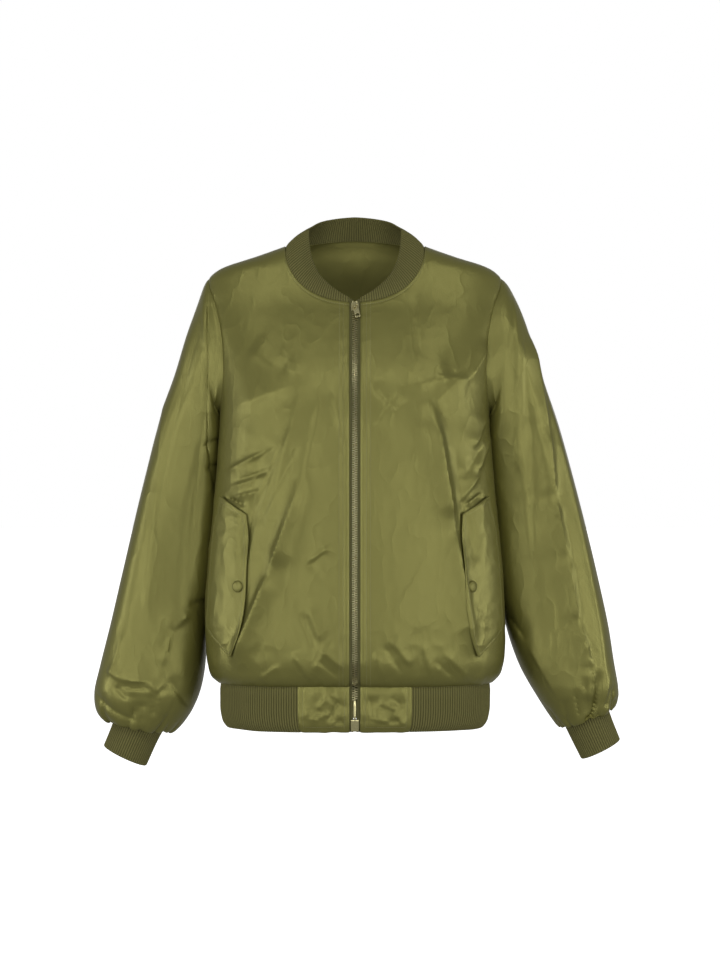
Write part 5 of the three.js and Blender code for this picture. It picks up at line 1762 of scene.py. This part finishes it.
# %% [markdown]
# ## Stitching
#
# A line of machine stitches is a row of short raised grains with small gaps. Each grain is the same pebble,
# laid along the line on the face of the cloth. The lines run beside the zip, round the flaps and the tabs.

# %% Stitches
STITCH_LONG, STITCH_THICK, STITCH_PITCH = 1.15, 0.3, 3.0
stitch_points, stitch_faces = pebble(4, 6, 0.8)
stitch_faces = outward_faces(stitch_points, stitch_faces)
SEWN = []


def sew(line, normal):
    """Stitches along a line of points with a normal at each, in even steps, each half sunk in the cloth."""
    way = way_along(line)
    at = np.arange(STITCH_PITCH / 2, way[-1], STITCH_PITCH)
    place = along_line(at, way, line)
    ahead = unit(along_line(at + 0.8, way, line) - along_line(at - 0.8, way, line))
    out = along_line(at, way, normal)
    out = unit(out - (out * ahead).sum(-1, keepdims=True) * ahead)
    frames = np.stack([ahead * STITCH_LONG, np.cross(out, ahead) * STITCH_THICK, out * STITCH_THICK], 1)
    SEWN.append(scatter(stitch_points, stitch_faces, place + out * 0.08, frames))


def at_distance(grid, off, distance):
    """The line over a grid where the distance along each row first reaches a value."""
    return np.array([[np.interp(distance, o, row[:, k]) for k in range(3)] for row, o in zip(grid, off)])


def nearest(way, distance, axis=0):
    """The index at which a length comes nearest to a value."""
    return np.argmin(np.abs(way - distance), axis=axis)


for name, (outer, inner) in PANELS.items():
    normal = (outer - inner) / SHELL_THICK
    if name != "back":
        off = run(outer, 1)
        for distance in (ZIP_STITCH, ZIP_STITCH + ZIP_ROWS):
            sew(*(at_distance(grid, off, distance)[2:-2] for grid in (outer, normal)))
    columns = BACK_COLUMNS if name == "back" else COLUMN_STEPS
    neck = np.abs(columns) <= NECK_COLUMN
    grids = [grid[::-1, neck].swapaxes(0, 1) for grid in (outer, normal, run(outer, 0, True)[..., None])]
    sew(*(at_distance(grid, grids[2][..., 0], NECK_STITCH) for grid in grids[:2]))
for outer, normal in FLAPS.values():
    left, right = (nearest(run(outer, 1, back), FLAP_STITCH, 1) for back in (False, True))
    middle = outer.shape[1] // 2
    top, low = (nearest(run(outer, 0, back)[:, middle], FLAP_STITCH) for back in (False, True))
    rows = np.arange(top, low)[(right - left)[top:low] > 1]
    for columns in (left, right):
        sew(outer[rows, columns[rows]], normal[rows, columns[rows]])
    for row in (top, rows[-1]):
        span = np.arange(left[row], right[row] + 1)
        sew(outer[row, span], normal[row, span])
for points in TABS.values():
    way = run(points[:, :TAB_ROWS], 0)[:, 0]
    first, last = nearest(way, TAB_STITCH), nearest(way, way[-1] - TAB_STITCH)
    for line in (points[first, 1:20], points[last, 1:20], points[first:last, 18]):
        sew(line, np.broadcast_to([0.0, -1.0, 0.0], line.shape))
points, faces = merged(SEWN)
add_piece("topstitching", points, faces, THREAD, sharp=60)
print("stitches:", len(faces) // len(stitch_faces))

# %% [markdown]
# ## Light inside the neck
#
# The jacket shades its own inside. One more soft lamp shines on the back panel alone, so that its inner face
# can be seen through the neck.

# %% Neck lamp
neck_lamp = lamp("lamp_neck", (0, -1.5, 0.55), (0, 0.05, -0.05), (0.3, 0.3), 5)
only_back = bpy.data.collections.new("lit_by_neck_lamp")
only_back.objects.link(bpy.data.objects["sewn_back"])
neck_lamp.light_linking.receiver_collection = only_back

# %% [markdown]
# ## Sum and sizes
#
# The last cell counts the triangles that were made and names the largest piece. Cloth may stand a little
# proud of its solid.

# %% Sizes
largest = max(PIECE_TRIANGLES, key=lambda piece: piece[1])
print("triangles:", sum(count for _, count in PIECE_TRIANGLES), "largest:", largest)
